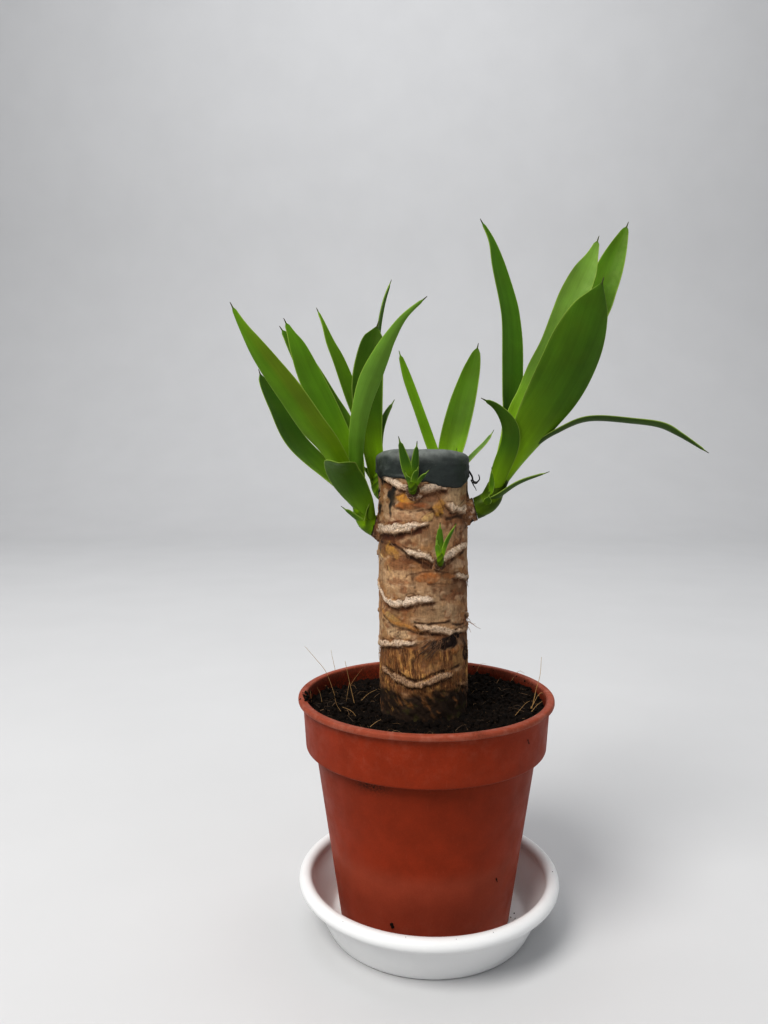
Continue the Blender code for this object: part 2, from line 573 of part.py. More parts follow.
def soil():
    """The filling of the pot, with a plain hole that the cane stands in."""
    surface_centre = cane_axis(SOIL_LEVEL)
    edge_radius = pot_inner_radius(SOIL_LEVEL) - SOIL_CLEARANCE
    inner_step = COLLAR_BOTTOM + POT_WALL
    ledge = inner_step + 2 * CLEARANCE
    mesh_data = bmesh.new()
    hole = [SOIL_HOLE_RADIUS] * SOIL_SIDES
    rings = [ring_round(mesh_data, cane_axis(CANE_BOTTOM - CLEARANCE), hole)]
    for i in range(SOIL_ROWS + 1):
        part = i / SOIL_ROWS
        centre = surface_centre.lerp(POT_CENTRE, part)
        radius = SOIL_HOLE_RADIUS + (edge_radius - SOIL_HOLE_RADIUS) * part
        heights = [soil_height(centre + radius * azimuth_way(azimuth)) for azimuth in azimuths(SOIL_SIDES)]
        rings.append(ring_round(mesh_data, centre, [radius] * SOIL_SIDES, heights))
    for height in (SOIL_LEVEL - 4 * SOIL_BUMPS, ledge, inner_step - 2 * POT_BEVEL, BODY_MIDDLE, SOIL_BOTTOM):
        radius = pot_inner_radius(height) - SOIL_CLEARANCE
        rings.append(ring_round(mesh_data, POT_CENTRE, [radius] * SOIL_SIDES, [height] * SOIL_SIDES))
    bridge_rings(mesh_data, rings)
    obj = add_object("soil", mesh_data, make_material("soil"))
    shade(obj)


def smooth_line(points, steps):
    """Evenly spaced points, with their half widths, on a smooth curve through the given ones."""
    points = [Vector(p) for p in points]
    before = 2 * points[0] - points[1]
    after = 2 * points[-1] - points[-2]
    chain = [before] + points + [after]
    fine = []
    for a, b, c, d in zip(chain, chain[1:], chain[2:], chain[3:]):
        for i in range(16):
            t = i / 16
            fine.append(0.5 * (2 * b + (c - a) * t + (2 * a - 5 * b + 4 * c - d) * t * t
                               + (3 * b - a - 3 * c + d) * t ** 3))
    fine.append(points[-1])
    lengths = [0.0]
    for a, b in zip(fine, fine[1:]):
        lengths.append(lengths[-1] + (b - a).xyz.length)
    even = []
    at = 0
    for i in range(steps + 1):
        goal = lengths[-1] * i / steps
        while at < len(fine) - 2 and lengths[at + 1] < goal:
            at += 1
        span = lengths[at + 1] - lengths[at]
        even.append(fine[at].lerp(fine[at + 1], (goal - lengths[at]) / span))
    return even


def blade(line, reach, curl, face):
    """A leaf as one thin closed solid: its width bends round the stem at the root and lies open above."""
    length = sum((Vector(b) - Vector(a)).length for a, b in zip(line, line[1:]))
    widest = max(row[3] for row in line)
    along_steps = max(LEAST_BLADE_STEPS, round(length / BLADE_STEP))
    across_steps = 4 if widest > NARROW_BLADE else 2
    places = smooth_line(line, along_steps)
    spine = [place.xyz for place in places]
    mesh_data = bmesh.new()
    upper_rows, lower_rows = [], []
    for i, point in enumerate(spine):
        part = i / along_steps
        along = (spine[min(i + 1, along_steps)] - spine[max(i - 1, 0)]).normalized()
        inward = Vector(face)
        inward = (inward - inward.dot(along) * along).normalized()
        side = along.cross(inward)
        half = max(LEAST_HALF_WIDTH, places[i].w)
        bend = math.radians(curl + (reach - curl) * max(0.0, 1 - part / 0.35) ** 1.5)
        thick = BLADE_THICKNESS + (BLADE_ROOT_THICKNESS - BLADE_THICKNESS) * max(0.0, 1 - part / 0.4)
        radius = half / bend
        upper, lower = [], []
        for k in range(across_steps + 1):
            turn = bend * (2 * k / across_steps - 1)
            out = math.sin(turn) * side - math.cos(turn) * inward
            middle = point + radius * inward + radius * out
            upper.append(mesh_data.verts.new(middle - out * thick / 2))
            lower.append(mesh_data.verts.new(middle + out * thick / 2))
        upper_rows.append(upper)
        lower_rows.append(lower)
    rings = [upper + lower[::-1] for upper, lower in zip(upper_rows, lower_rows)]
    count = len(rings[0])
    for here, there in zip(rings, rings[1:]):
        for k in range(count):
            j = (k + 1) % count
            mirrored = k >= count // 2
            if mirrored:
                mesh_data.faces.new((here[k], here[j], there[k]))
                mesh_data.faces.new((here[j], there[j], there[k]))
            else:
                mesh_data.faces.new((here[k], here[j], there[j]))
                mesh_data.faces.new((here[k], there[j], there[k]))
    for ends in (0, -1):
        upper, lower = upper_rows[ends], lower_rows[ends]
        for k in range(across_steps):
            mesh_data.faces.new((upper[k], upper[k + 1], lower[k + 1], lower[k]))
    return mesh_data


def leafy_shoot(name, shoot):
    """A stem with its blades, joined as one solid, that starts clear of the cane's stub."""
    way = Vector(shoot["way"]).normalized()
    start = Vector(shoot["root"]) + (shoot["stub"][1] + CLEARANCE) * way
    spine = [start] + [Vector(p) for p in shoot["stem"]]
    obj = add_object(name, tube(spine, shoot["stem_radii"], STEM_SIDES, way), make_material("leaf"))
    blades = new_collection(name + "_blades")
    for i, row in enumerate(shoot["blades"]):
        add_object(f"{name}_blade_{i}", blade(*row), collection=blades)
    join_or_cut(obj, blades, "UNION")
    shade(obj, 50)


clear_scene()
saucer()
pot()
soil()
cane()
wound_wax()
for shoot_name, shoot_sizes in SHOOTS.items():
    leafy_shoot(shoot_name, shoot_sizes)
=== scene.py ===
"""The finished looks of a potted yucca: plastic pot and saucer, soil, cane, wound wax and leaves.

Lengths are in millimetres where they are named, and MM turns them into metres. The origin is on the
saucer's axis, on the surface that it stands on. +Z is up, and -Y is the plant's front. Azimuths round
the cane and the pot are in degrees: 0 is the front, and positive is to the right, towards +X.
Colours are linear.
"""

import math

import bmesh
import bpy
import numpy as np
from mathutils import Matrix, Vector, noise


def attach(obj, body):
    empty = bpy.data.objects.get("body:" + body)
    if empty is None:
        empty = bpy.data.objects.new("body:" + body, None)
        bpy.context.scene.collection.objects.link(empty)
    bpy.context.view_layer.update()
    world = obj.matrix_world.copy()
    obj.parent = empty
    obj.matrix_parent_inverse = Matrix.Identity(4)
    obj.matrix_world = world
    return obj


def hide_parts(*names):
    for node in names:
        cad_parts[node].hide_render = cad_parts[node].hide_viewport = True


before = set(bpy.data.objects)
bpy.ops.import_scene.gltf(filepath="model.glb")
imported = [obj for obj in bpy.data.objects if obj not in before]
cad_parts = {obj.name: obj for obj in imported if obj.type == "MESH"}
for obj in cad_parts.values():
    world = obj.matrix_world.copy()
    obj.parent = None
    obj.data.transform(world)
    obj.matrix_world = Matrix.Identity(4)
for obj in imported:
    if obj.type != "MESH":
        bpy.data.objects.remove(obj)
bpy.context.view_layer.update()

MM = 0.001
CLEARANCE = 0.3

# Saucer
SAUCER_SIDES = 192
SAUCER_FOOT_RADIUS = 47.6
SAUCER_FLOOR = 2.2
SAUCER_WALL = 1.8
SAUCER_WALL_BASE = (49.6, 4.0)
SAUCER_ROLL_RADIUS = 3.2
SAUCER_ROLL_CENTRE = (58.3, 22.4)
SAUCER_WALL_TOP = (57.6, 20.5)

# Pot
POT_SIDES = 192
POT_CENTRE = np.array((-1.5, 2.0, 0.0))
POT_BASE = SAUCER_FLOOR + CLEARANCE
POT_BASE_RADIUS = 40.2
POT_TAPER = 0.1435
POT_WALL = 1.6
POT_FLOOR = 2.0
POT_FOOT_HEIGHT = 2.5
POT_FOOT_WIDTH = 4.0
COLLAR_BOTTOM = 85.8
COLLAR_BOTTOM_RADIUS = 56.4
COLLAR_TOP_RADIUS = 57.8
LIP_BOTTOM = 107.2
LIP_TOP = 109.8
LIP_RADIUS = 60.0
DRAIN_HOLES = 6
DRAIN_HOLE_RADIUS = 4.0
DRAIN_RING_RADIUS = 24.0
SMEAR_AZIMUTH = -29  # of the smear of soil under the collar

# Cane
CANE_RADIUS = 20.5
CANE_BOTTOM = 46.0
CANE_TOP = 222.4
CANE_END_BEVEL = 2.5
CANE_AXIS_AT_100 = (-2.5, 0.0)
CANE_LEAN = -0.008
BARK_COLUMNS = 288
BARK_ROW = 0.42
BARK_BOTTOM = 97.0  # the bark shows above this
BARK_TOP = 216.5  # and up to here, under the wax
DEGREE = math.pi * CANE_RADIUS / 180  # length of one degree round the cane

STUB_SIDES = 40
STUB_STEPS = 14
STUB_SUNK = 5.0
STUB_FLARE = 1.3

# Leaf scars: along each, azimuth, height of its middle, half thickness, and how pale it is
SCARS = (
    ((-76, 214.0, 0.8, 0.2), (-66, 212.8, 0.9, 0.5), (-56, 211.5, 1.4, 0.9), (-36, 209.2, 1.55, 0.95),
     (-18, 206.6, 1.2, 0.8), (-12, 206.0, 0.9, 0.4), (-2, 207.0, 1.2, 0.8), (9, 208.2, 1.5, 0.9),
     (20, 207.7, 1.0, 0.8), (30, 206.8, 0.6, 0.3)),
    ((24, 200.4, 0.5, 0.2), (33, 198.7, 1.2, 0.75), (45, 197.9, 1.5, 0.85), (64, 197.4, 1.4, 0.8),
     (85, 196.4, 1.2, 0.6), (110, 197.4, 1.3, 0.8), (132, 199.6, 1.0, 0.6), (144, 201.0, 0.6, 0.2)),
    ((-168, 192.0, 0.6, 0.2), (-150, 190.4, 1.1, 0.7), (-120, 188.2, 1.4, 0.8), (-84, 187.8, 1.6, 0.7),
     (-60, 188.6, 1.9, 0.8), (-36, 189.2, 1.8, 1.0), (-18, 190.1, 1.5, 1.05), (-4, 191.2, 1.0, 0.9),
     (4, 192.0, 0.5, 0.3)),
    ((-30, 181.6, 0.5, 0.1), (-22, 179.3, 1.2, 0.9), (-7, 177.9, 1.45, 0.95), (6, 176.2, 1.1, 0.8),
     (14, 174.4, 0.8, 0.3), (22, 175.4, 1.1, 0.8), (30, 177.4, 1.3, 0.95), (45, 179.6, 1.4, 0.9),
     (62, 180.8, 1.1, 0.8), (74, 181.4, 0.6, 0.3)),
    ((38, 168.6, 0.6, 0.3), (46, 168.0, 1.1, 0.8), (64, 166.5, 1.0, 0.8), (85, 166.2, 1.2, 0.6),
     (110, 167.2, 1.1, 0.7), (128, 168.6, 0.7, 0.3)),
    ((-96, 164.6, 0.6, 0.3), (-84, 162.6, 0.9, 0.6), (-69, 159.2, 1.15, 0.9), (-60, 156.7, 1.3, 1.0),
     (-43, 155.0, 1.4, 1.0), (-29, 156.1, 1.4, 1.0), (-13, 157.6, 1.4, 1.0), (1, 158.1, 1.3, 1.0),
     (10, 158.2, 1.1, 0.8)),
    ((-13, 146.4, 0.5, 0.3), (-6, 145.6, 1.1, 0.5), (10, 144.8, 1.3, 0.6), (22, 144.4, 1.2, 0.65),
     (40, 142.4, 1.0, 0.5), (60, 142.0, 1.0, 0.2), (90, 143.6, 0.8, 0.2)),
    ((-140, 138.8, 0.7, 0.3), (-112, 136.2, 1.2, 0.7), (-88, 134.4, 1.3, 0.7), (-70, 134.9, 1.45, 0.75),
     (-42, 137.1, 1.3, 0.75), (-20, 138.1, 1.0, 0.8), (-12, 139.2, 0.6, 0.4)),
    ((-70, 124.6, 0.6, 0.3), (-58, 123.4, 1.1, 0.6), (-34, 121.2, 1.3, 0.65), (-16, 118.9, 1.4, 0.7),
     (0, 120.4, 1.35, 0.7), (16, 122.4, 1.3, 0.7), (31, 123.3, 1.0, 0.65), (38, 123.6, 0.6, 0.3)),
    ((100, 206.6, 0.7, 0.3), (122, 204.4, 1.3, 0.8), (160, 203.0, 1.4, 0.8), (196, 204.6, 1.3, 0.8),
     (216, 206.8, 0.8, 0.4)),
    ((-212, 177.0, 0.6, 0.2), (-190, 173.6, 1.2, 0.8), (-150, 172.0, 1.4, 0.9), (-112, 173.8, 1.3, 0.8),
     (-90, 177.0, 0.8, 0.4)),
    ((92, 188.4, 0.7, 0.3), (112, 185.6, 1.2, 0.8), (150, 184.0, 1.4, 0.8), (182, 185.6, 1.2, 0.8),
     (204, 188.6, 0.7, 0.3)),
    ((110, 161.2, 0.6, 0.3), (132, 159.0, 1.3, 0.9), (172, 158.0, 1.5, 0.9), (206, 159.6, 1.2, 0.8),
     (228, 162.0, 0.7, 0.3)),
    ((66, 149.6, 0.7, 0.3), (84, 147.4, 1.1, 0.6), (118, 146.0, 1.3, 0.7), (150, 147.8, 1.1, 0.7),
     (168, 150.2, 0.6, 0.3)),
    ((-186, 149.8, 0.6, 0.3), (-168, 147.4, 1.2, 0.8), (-140, 146.0, 1.4, 0.8), (-110, 147.6, 1.2, 0.7),
     (-92, 150.0, 0.7, 0.3)),
    ((102, 134.4, 0.6, 0.3), (124, 131.6, 1.2, 0.7), (160, 130.0, 1.4, 0.7), (196, 131.8, 1.2, 0.6),
     (216, 134.4, 0.6, 0.3)),
    ((48, 118.6, 0.7, 0.2), (66, 116.4, 1.1, 0.3), (90, 115.2, 1.2, 0.4), (118, 117.0, 0.9, 0.4)),
    ((-170, 118.8, 0.7, 0.3), (-146, 116.2, 1.2, 0.5), (-120, 115.0, 1.3, 0.5), (-92, 116.6, 1.0, 0.3)),
)

# Bud scars: azimuth, height, half width in degrees, half height, tilt (rise over its width), colour and
# how strong it is
BUD_SCARS = (
    (-24, 202.4, 15, 2.4, -0.5, (0.50, 0.255, 0.045), 0.9),
    (-24, 199.6, 15, 1.6, 0.2, (0.34, 0.140, 0.045), 0.85),
    (-2, 199.7, 12, 1.3, -0.7, (0.30, 0.115, 0.050), 0.85),
    (17, 198.6, 7.5, 3.7, 0.0, (0.49, 0.265, 0.045), 0.9),
    (4, 195.2, 7.0, 1.8, 0.9, (0.50, 0.355, 0.17), 0.7),
    (-47, 179.6, 12, 2.8, -1.6, (0.44, 0.250, 0.060), 0.85),
    (-64, 177.6, 8, 2.2, 0.0, (0.32, 0.18, 0.07), 0.6),
    (5, 168.0, 16, 2.3, 0.1, (0.36, 0.145, 0.050), 0.85),
    (30, 168.6, 10, 1.3, -0.2, (0.30, 0.125, 0.050), 0.75),
    (-48, 149.0, 13, 1.6, -1.2, (0.33, 0.23, 0.07), 0.55),
    (42, 134.6, 7, 2.4, 0.0, (0.32, 0.13, 0.04), 0.8),
    (4, 137.4, 8, 1.8, 0.6, (0.30, 0.135, 0.055), 0.7),
    (85, 202.0, 12, 2.2, 0.5, (0.36, 0.18, 0.05), 0.7),
    (-88, 193.6, 12, 2.0, -0.5, (0.36, 0.18, 0.05), 0.7),
    (95, 172.0, 13, 2.0, 0.4, (0.33, 0.15, 0.05), 0.75),
    (170, 208.5, 11, 2.0, 0.3, (0.36, 0.18, 0.05), 0.75),
    (-150, 178.0, 12, 2.2, -0.4, (0.40, 0.21, 0.05), 0.75),
    (150, 190.5, 13, 2.0, 0.5, (0.33, 0.15, 0.05), 0.75),
    (172, 163.5, 12, 2.0, -0.3, (0.36, 0.18, 0.05), 0.75),
    (118, 151.5, 11, 1.8, 0.4, (0.33, 0.15, 0.05), 0.7),
    (-140, 151.5, 13, 1.9, -0.4, (0.30, 0.13, 0.05), 0.75),
    (160, 135.5, 12, 1.8, 0.5, (0.30, 0.13, 0.05), 0.7),
)

# Broad patches on the bark: azimuth, height, half width in degrees, half height, colour and strength
BARK_CHOCOLATE = (0.075, 0.032, 0.016)
BARK_RUST = (0.24, 0.095, 0.042)
BARK_PATCHES = (
    (-58, 206.5, 16, 5.0, (0.27, 0.165, 0.075), 0.75),
    (-50, 206.0, 8, 3.0, (0.12, 0.070, 0.035), 0.6),
    (46, 203.2, 20, 4.0, (0.46, 0.34, 0.235), 0.85),
    (58, 204.0, 8, 5.0, (0.24, 0.175, 0.10), 0.5),
    (10, 203.0, 9, 1.6, (0.36, 0.20, 0.13), 0.7),
    (-30, 195.0, 24, 2.0, (0.38, 0.245, 0.165), 0.8),
    (70, 191.5, 14, 3.6, BARK_CHOCOLATE, 0.8),
    (44, 191.0, 16, 2.4, BARK_RUST, 0.5),
    (28, 188.0, 30, 3.6, (0.42, 0.265, 0.165), 0.8),
    (6, 186.0, 12, 3.0, (0.20, 0.12, 0.075), 0.5),
    (60, 186.5, 16, 4.5, (0.31, 0.215, 0.155), 0.7),
    (-66, 180.0, 12, 3.0, BARK_CHOCOLATE, 0.55),
    (-34, 173.6, 17, 2.6, (0.235, 0.105, 0.050), 0.75),
    (-24, 176.0, 10, 1.8, (0.17, 0.07, 0.035), 0.7),
    (8, 173.4, 12, 1.5, BARK_CHOCOLATE, 0.9),
    (44, 173.2, 20, 2.0, (0.54, 0.40, 0.30), 0.8),
    (-44, 166.5, 24, 4.0, (0.50, 0.345, 0.225), 0.85),
    (-10, 163.0, 16, 3.4, (0.33, 0.215, 0.135), 0.7),
    (34, 162.5, 24, 3.4, (0.215, 0.135, 0.088), 0.75),
    (62, 160.0, 16, 5.0, (0.17, 0.100, 0.062), 0.6),
    (14, 152.6, 30, 3.4, (0.33, 0.230, 0.150), 0.8),
    (-34, 151.5, 20, 1.8, (0.30, 0.215, 0.13), 0.7),
    (54, 150.0, 12, 5.0, (0.30, 0.16, 0.085), 0.5),
    (-34, 141.8, 20, 2.2, (0.54, 0.40, 0.28), 0.9),
    (-70, 144.0, 12, 6.0, (0.38, 0.25, 0.14), 0.7),
    (66, 140.0, 14, 4.0, BARK_CHOCOLATE, 0.6),
    (50, 130.5, 13, 4.4, (0.52, 0.345, 0.165), 0.9),
    (8, 130.5, 13, 4.6, (0.48, 0.310, 0.150), 0.9),
    (-44, 129.5, 26, 5.0, (0.22, 0.098, 0.038), 0.85),
    (-15, 127.0, 6, 4.4, (0.085, 0.040, 0.026), 0.75),
    (50, 119.5, 15, 4.2, (0.19, 0.125, 0.095), 0.8),
    (-58, 119.0, 12, 2.6, (0.21, 0.105, 0.035), 0.7),
)

# Lines on the bark: (azimuth, height) points, width, colour, strength and relief
LINE_DARK = (0.035, 0.014, 0.008)
LINE_BROWN = (0.105, 0.042, 0.020)
LINE_RED = (0.155, 0.055, 0.030)
# Painted shade in the fold under a ledge of scars
FOLD_SHADE = (0.080, 0.028, 0.013)
LINE_STRAW = (0.55, 0.42, 0.22)
LINES = (
    # The first two lines are brown painted shade under the top row of leaf scars.
    (((-69, 210.6), (-54, 208.9), (-36, 207.0), (-22, 204.8), (-12, 202.6)), 1.6, LINE_BROWN, 0.9, -0.5),
    (((-8, 203.3), (9, 205.1), (27, 206.2)), 1.3, LINE_BROWN, 0.85, -0.4),
    (((-13.5, 205.3), (-9.4, 201.6)), 0.7, LINE_RED, 0.7, -0.2),
    (((-3, 206.4), (-8, 201.6)), 0.7, LINE_RED, 0.7, -0.2),
    (((-38, 198.2), (-16, 197.0), (8, 198.2)), 0.8, LINE_DARK, 0.75, -0.35),
    (((-38, 203.8), (-28, 205.0), (-14, 203.6)), 0.6, LINE_DARK, 0.7, -0.2),
    (((15, 204.3), (9, 201.4), (7.9, 199.0), (12, 196.4), (16, 194.0)), 0.9, LINE_DARK, 0.9, -0.3),
    (((15.4, 204.1), (20, 200.8), (24, 197.6)), 0.5, LINE_BROWN, 0.7, -0.1),
    (((20.2, 195.7), (29.7, 193.8), (44.8, 195.0), (69.4, 193.4)), 1.3, LINE_DARK, 0.85, -0.5),
    (((-72, 191.4), (-50, 192.0), (-30, 192.7)), 0.8, LINE_RED, 0.8, -0.3),
    # Painted shade in the fold under the ledge of scars at about 189 mm.
    (((-90, 183.8), (-60, 185.0), (-36, 185.9), (-22, 187.0), (-6, 188.8)), 2.8, FOLD_SHADE, 1.0, -0.4),
    (((-84, 183.0), (-63, 182.4), (-40, 182.0), (-29, 179.8), (-21, 177.6)), 1.1, LINE_DARK, 0.9, -0.4),
    (((-29, 181.3), (-14, 179.9), (6, 178.3)), 0.7, LINE_BROWN, 0.85, -0.3),
    (((-22, 177.0), (-7, 174.6), (8.4, 172.4), (17, 172.2), (30, 174.2), (47, 176.4), (66, 179.2)), 1.1,
     LINE_DARK, 0.9, -0.5),
    (((-24, 168.5), (-11, 169.9), (8, 170.6), (30, 170.2)), 0.6, LINE_BROWN, 0.8, -0.2),
    (((-14, 169.2), (-15, 166.4), (-13.8, 163.4)), 0.9, LINE_DARK, 0.8, -0.3),
    (((-36, 167.6), (-29, 165.8), (-24, 168.3)), 0.5, LINE_BROWN, 0.7, -0.15),
    (((4, 164.9), (24, 165.2), (46, 164.4)), 0.6, LINE_BROWN, 0.6, -0.2),
    (((-33.7, 158.2), (-26.4, 159.8), (-15.6, 160.7), (-11, 159.8)), 0.7, LINE_BROWN, 0.8, -0.25),
    (((-55, 153.1), (-38.5, 152.6), (-19.7, 154.2), (-0.5, 155.9), (12, 156.4)), 1.2, LINE_BROWN, 0.8, -0.4),
    (((-69, 151.0), (-58, 148.6), (-44, 146.8), (-27, 146.1), (-13, 144.6), (-4, 143.6)), 1.5,
     (0.42, 0.215, 0.065), 0.85, 0.45),
    (((-66, 148.6), (-45, 145.2), (-27, 144.4), (-12, 143.0), (11, 142.0), (26, 141.6)), 0.7, LINE_DARK,
     0.8, -0.3),
    (((-13, 147.6), (6, 147.0), (29, 147.4), (44, 145.4), (60, 145.0)), 0.9, LINE_DARK, 0.85, -0.35),
    (((-52, 142.0), (-34, 144.1), (-19, 143.9)), 0.6, LINE_DARK, 0.7, -0.2),
    (((-31, 143.6), (-32, 142.2), (-29.6, 140.2)), 0.6, LINE_DARK, 0.8, -0.2),
    (((-51, 141.2), (-48, 140.4), (-47.5, 138.8)), 0.6, LINE_DARK, 0.8, -0.2),
    (((-24, 143.2), (-22, 141.2)), 0.5, LINE_DARK, 0.7, -0.2),
    (((25.2, 138.0), (24.2, 132.0), (24.4, 126.6)), 1.3, (0.085, 0.025, 0.014), 0.85, -0.2),
    (((-16, 131.0), (-14.5, 126), (-13.6, 121.6)), 1.8, (0.075, 0.036, 0.026), 0.7, -0.1),
    (((-72, 126.2), (-52, 125.0), (-34, 123.7), (-14, 121.3), (1, 123.2), (19, 125.3), (53, 126.6)), 1.2,
     LINE_DARK, 0.9, -0.5),
    (((42.6, 191.6), (43, 187.6), (41, 184.6), (45, 182.6), (41, 179.6)), 0.7, LINE_BROWN, 0.75, -0.25),
    (((43, 184.8), (47, 183.6), (49, 182.2)), 0.5, LINE_BROWN, 0.7, -0.2),
    (((33, 193.5), (37, 191.0), (35, 188.8)), 0.5, LINE_BROWN, 0.7, -0.2),
    (((55, 191), (52, 187.6), (57, 184.9), (54, 182.6)), 0.6, LINE_BROWN, 0.7, -0.2),
    (((69, 166.0), (74, 162.4), (77, 158.6)), 1.4, LINE_DARK, 0.8, -0.3),
    (((36, 163.4), (41, 159.5), (38, 156.2), (42, 152.4)), 0.6, LINE_RED, 0.6, -0.2),
    (((50, 161), (55, 156), (52, 151), (56, 147)), 0.6, LINE_BROWN, 0.65, -0.2),
    (((22, 163), (19, 160), (22, 157.4)), 0.5, LINE_BROWN, 0.6, -0.2),
    (((56, 139.0), (62, 136.5), (70, 134), (74, 129.5), (68, 125)), 1.6, LINE_DARK, 0.85, 0.4),
    (((-76, 158), (-77, 149), (-74, 141), (-78, 132)), 1.2, LINE_BROWN, 0.7, -0.3),
    (((-78, 182), (-76, 177), (-79, 170), (-77, 164)), 1.2, LINE_DARK, 0.7, -0.3),
    (((-68, 119.3), (-56, 117.8), (-44.5, 116.0)), 1.0, (0.22, 0.11, 0.03), 0.7, 0.3),
    (((36, 110.9), (44, 110.4), (51, 110.2)), 0.6, (0.30, 0.19, 0.09), 0.7, 0.2),
    (((-80, 178.4), (-72, 176.8), (-64, 175.9)), 0.7, LINE_STRAW, 0.9, 0.4),
    (((-53, 172.4), (-50, 170.8), (-46.8, 169.2)), 0.7, LINE_STRAW, 0.9, 0.4),
)

# Dark blots of wax on the bark: azimuth, height, half width in degrees, half height
WAX_BLOTS = (
    (-62, 213.2, 7.0, 2.8),
    (-66, 210.8, 4.5, 2.0),
    (-45, 203.6, 7.0, 3.4),
    (-47, 199.2, 1.8, 3.8),
    (-42, 206.6, 3.0, 1.6),
    (-51, 204.4, 3.0, 1.6),
    (-74, 197.6, 6.0, 2.6),
    (-78, 206.0, 3.0, 1.0),
    (74, 205.5, 4.0, 3.0),
    (140, 205.0, 6.0, 3.0),
    (-120, 208.5, 5.0, 3.5),
)

# Dark knots of frayed fibre: azimuth, height, half width in degrees, half height
FRAY_PATCHES = (
    (33, 138.2, 15, 3.1), (35, 138.6, 9, 2.2), (40, 141.0, 9, 1.6), (14, 137.6, 10, 1.5),
    (66, 132.0, 8, 4.0), (-160, 124.0, 14, 3.0),
)

# Smoother bark among the fibres: azimuth, height, half width in degrees, half height
BARE_PATCHES = (
    (8, 130.0, 12, 5.0), (50, 130.0, 11, 5.0), (-66, 129.0, 9, 4.0), (120, 128.0, 20, 4.0),
    (-150, 130.0, 16, 4.0),
)

FIBRE_TOP = 136.5  # the bark is worn to its fibres below this
STAIN_TOP = 118.5  # and stained below this
FAR = 60.0  # a scar's hollow and shoulder no longer change beyond this distance

# Wound wax
WAX_COLUMNS = 256
WAX_RINGS = 12
WAX_SIDE_ROWS = 30
WAX_TOP = 224.4
WAX_OUTER_RADIUS = 21.6
WAX_BEVEL = 4.0
WAX_EDGE = (  # azimuth and height
    (-170, 210.0), (-120, 212.5), (-82, 214.2), (-68, 211.2), (-53, 212.4), (-35, 212.0), (-15, 210.2),
    (2, 210.7), (17, 208.5), (37, 207.2), (51, 207.6), (75, 211.6), (110, 211.0), (150, 208.5),
)
WAX_AXIS_HEIGHT = 215.0

# Black shreds at the right edge of the wax and on the bark: points and thickness
WAX_SHREDS = (
    (((17.6, -3.2, 214.6), (19.0, -4.0, 212.2), (19.6, -4.4, 210.0), (21.4, -4.6, 209.6),
      (22.4, -4.6, 211.0), (22.0, -4.6, 213.0)), 1.0),
    (((18.6, -4.0, 210.6), (19.6, -4.4, 208.4), (20.6, -4.6, 206.6), (21.0, -4.6, 205.6)), 0.7),
    (((19.4, -4.4, 209.6), (20.8, -4.8, 209.0), (22.0, -4.8, 210.4)), 1.1),
    (((16.6, -6.0, 191.2), (18.6, -6.4, 191.6), (19.8, -6.6, 192.4)), 1.2),
    (((-22.9, -5.0, 206.0), (-23.6, -5.2, 205.2), (-23.5, -5.2, 204.2)), 0.8),
    (((-22.9, -4.0, 203.0), (-23.5, -4.2, 202.4)), 0.7),
)

# Bark shreds and hairs as seen at the front: points and thickness
BARK_SHREDS = (
    (((16.0, -8.0, 146.0), (18.5, -8.6, 145.2), (21.0, -9.0, 143.6), (23.0, -9.2, 142.6)), 0.35),
    (((16.0, -8.0, 145.4), (18.0, -8.4, 145.8), (19.6, -8.8, 144.8), (20.8, -9.0, 144.9)), 0.3),
    (((16.6, -8.0, 144.4), (17.8, -8.6, 142.6), (18.6, -8.8, 140.8)), 0.3),
    (((17.0, -8.0, 147.6), (18.0, -8.2, 146.6), (18.4, -8.4, 145.2)), 0.3),
    (((-5.4, -20.9, 148.6), (-3.2, -21.2, 144.4), (-0.4, -21.4, 141.2)), 0.22),
    (((-21.6, -10.4, 180.0), (-20.8, -10.8, 177.6), (-20.2, -11.0, 175.8)), 0.5),
    (((-19.2, -13.0, 172.4), (-18.4, -13.4, 170.8), (-17.8, -13.9, 169.2)), 0.5),
    (((-18.2, -14.0, 182.6), (-16.6, -15.0, 181.0), (-14.8, -16.2, 179.6)), 0.3),
    (((10.6, -17.8, 187.4), (11.6, -17.4, 185.8), (12.4, -17.0, 184.6)), 0.3),
)

# Soil
SOIL_COLUMNS = 256
SOIL_RINGS = 84
SOIL_LEVEL = 101.8
SOIL_BUMPS = 1.6
SOIL_BOTTOM = POT_BASE + POT_FOOT_HEIGHT + POT_FLOOR + CLEARANCE
CRUMBS = 3600
RIM_HEAPS = ((-83, 4.0), (-80, 3.0), (-86, 3.4))  # azimuth and spread in degrees

# Crumbs in and on the saucer: azimuth, distance from its axis, height and size
SAUCER_CRUMBS = (
    (112, 46.2, 3.2, 0.45), (88, 41.0, 2.6, 0.45), (82, 39.4, 2.7, 0.5), (82, 41.4, 2.5, 0.35),
    (71, 39.4, 2.6, 0.5), (76, 40.2, 2.5, 0.3), (-96, 42.6, 2.6, 0.4),
    (-62, 47.6, 3.4, 0.4), (-66, 50.2, 7.6, 0.3), (-28, 45.3, 2.9, 1.1), (-25, 45.8, 3.0, 0.6),
    (24, 59.2, 25.4, 0.3), (-12, 59.0, 25.5, 0.25), (-40, 60.0, 25.1, 0.3), (8, 59.4, 25.4, 0.2),
    (84, 58.6, 25.7, 0.3), (120, 52.0, 9.0, 0.35), (150, 48.0, 3.3, 0.5), (-140, 49.0, 4.6, 0.4),
    (-100, 47.5, 3.0, 0.3),
)

# Crumbs on the pot's outside: azimuth, height and size
POT_CRUMBS = ((41, 36.5, 0.42), (46, 101.0, 0.32), (-22.4, 18.9, 0.8), (-23.1, 18.7, 0.75))

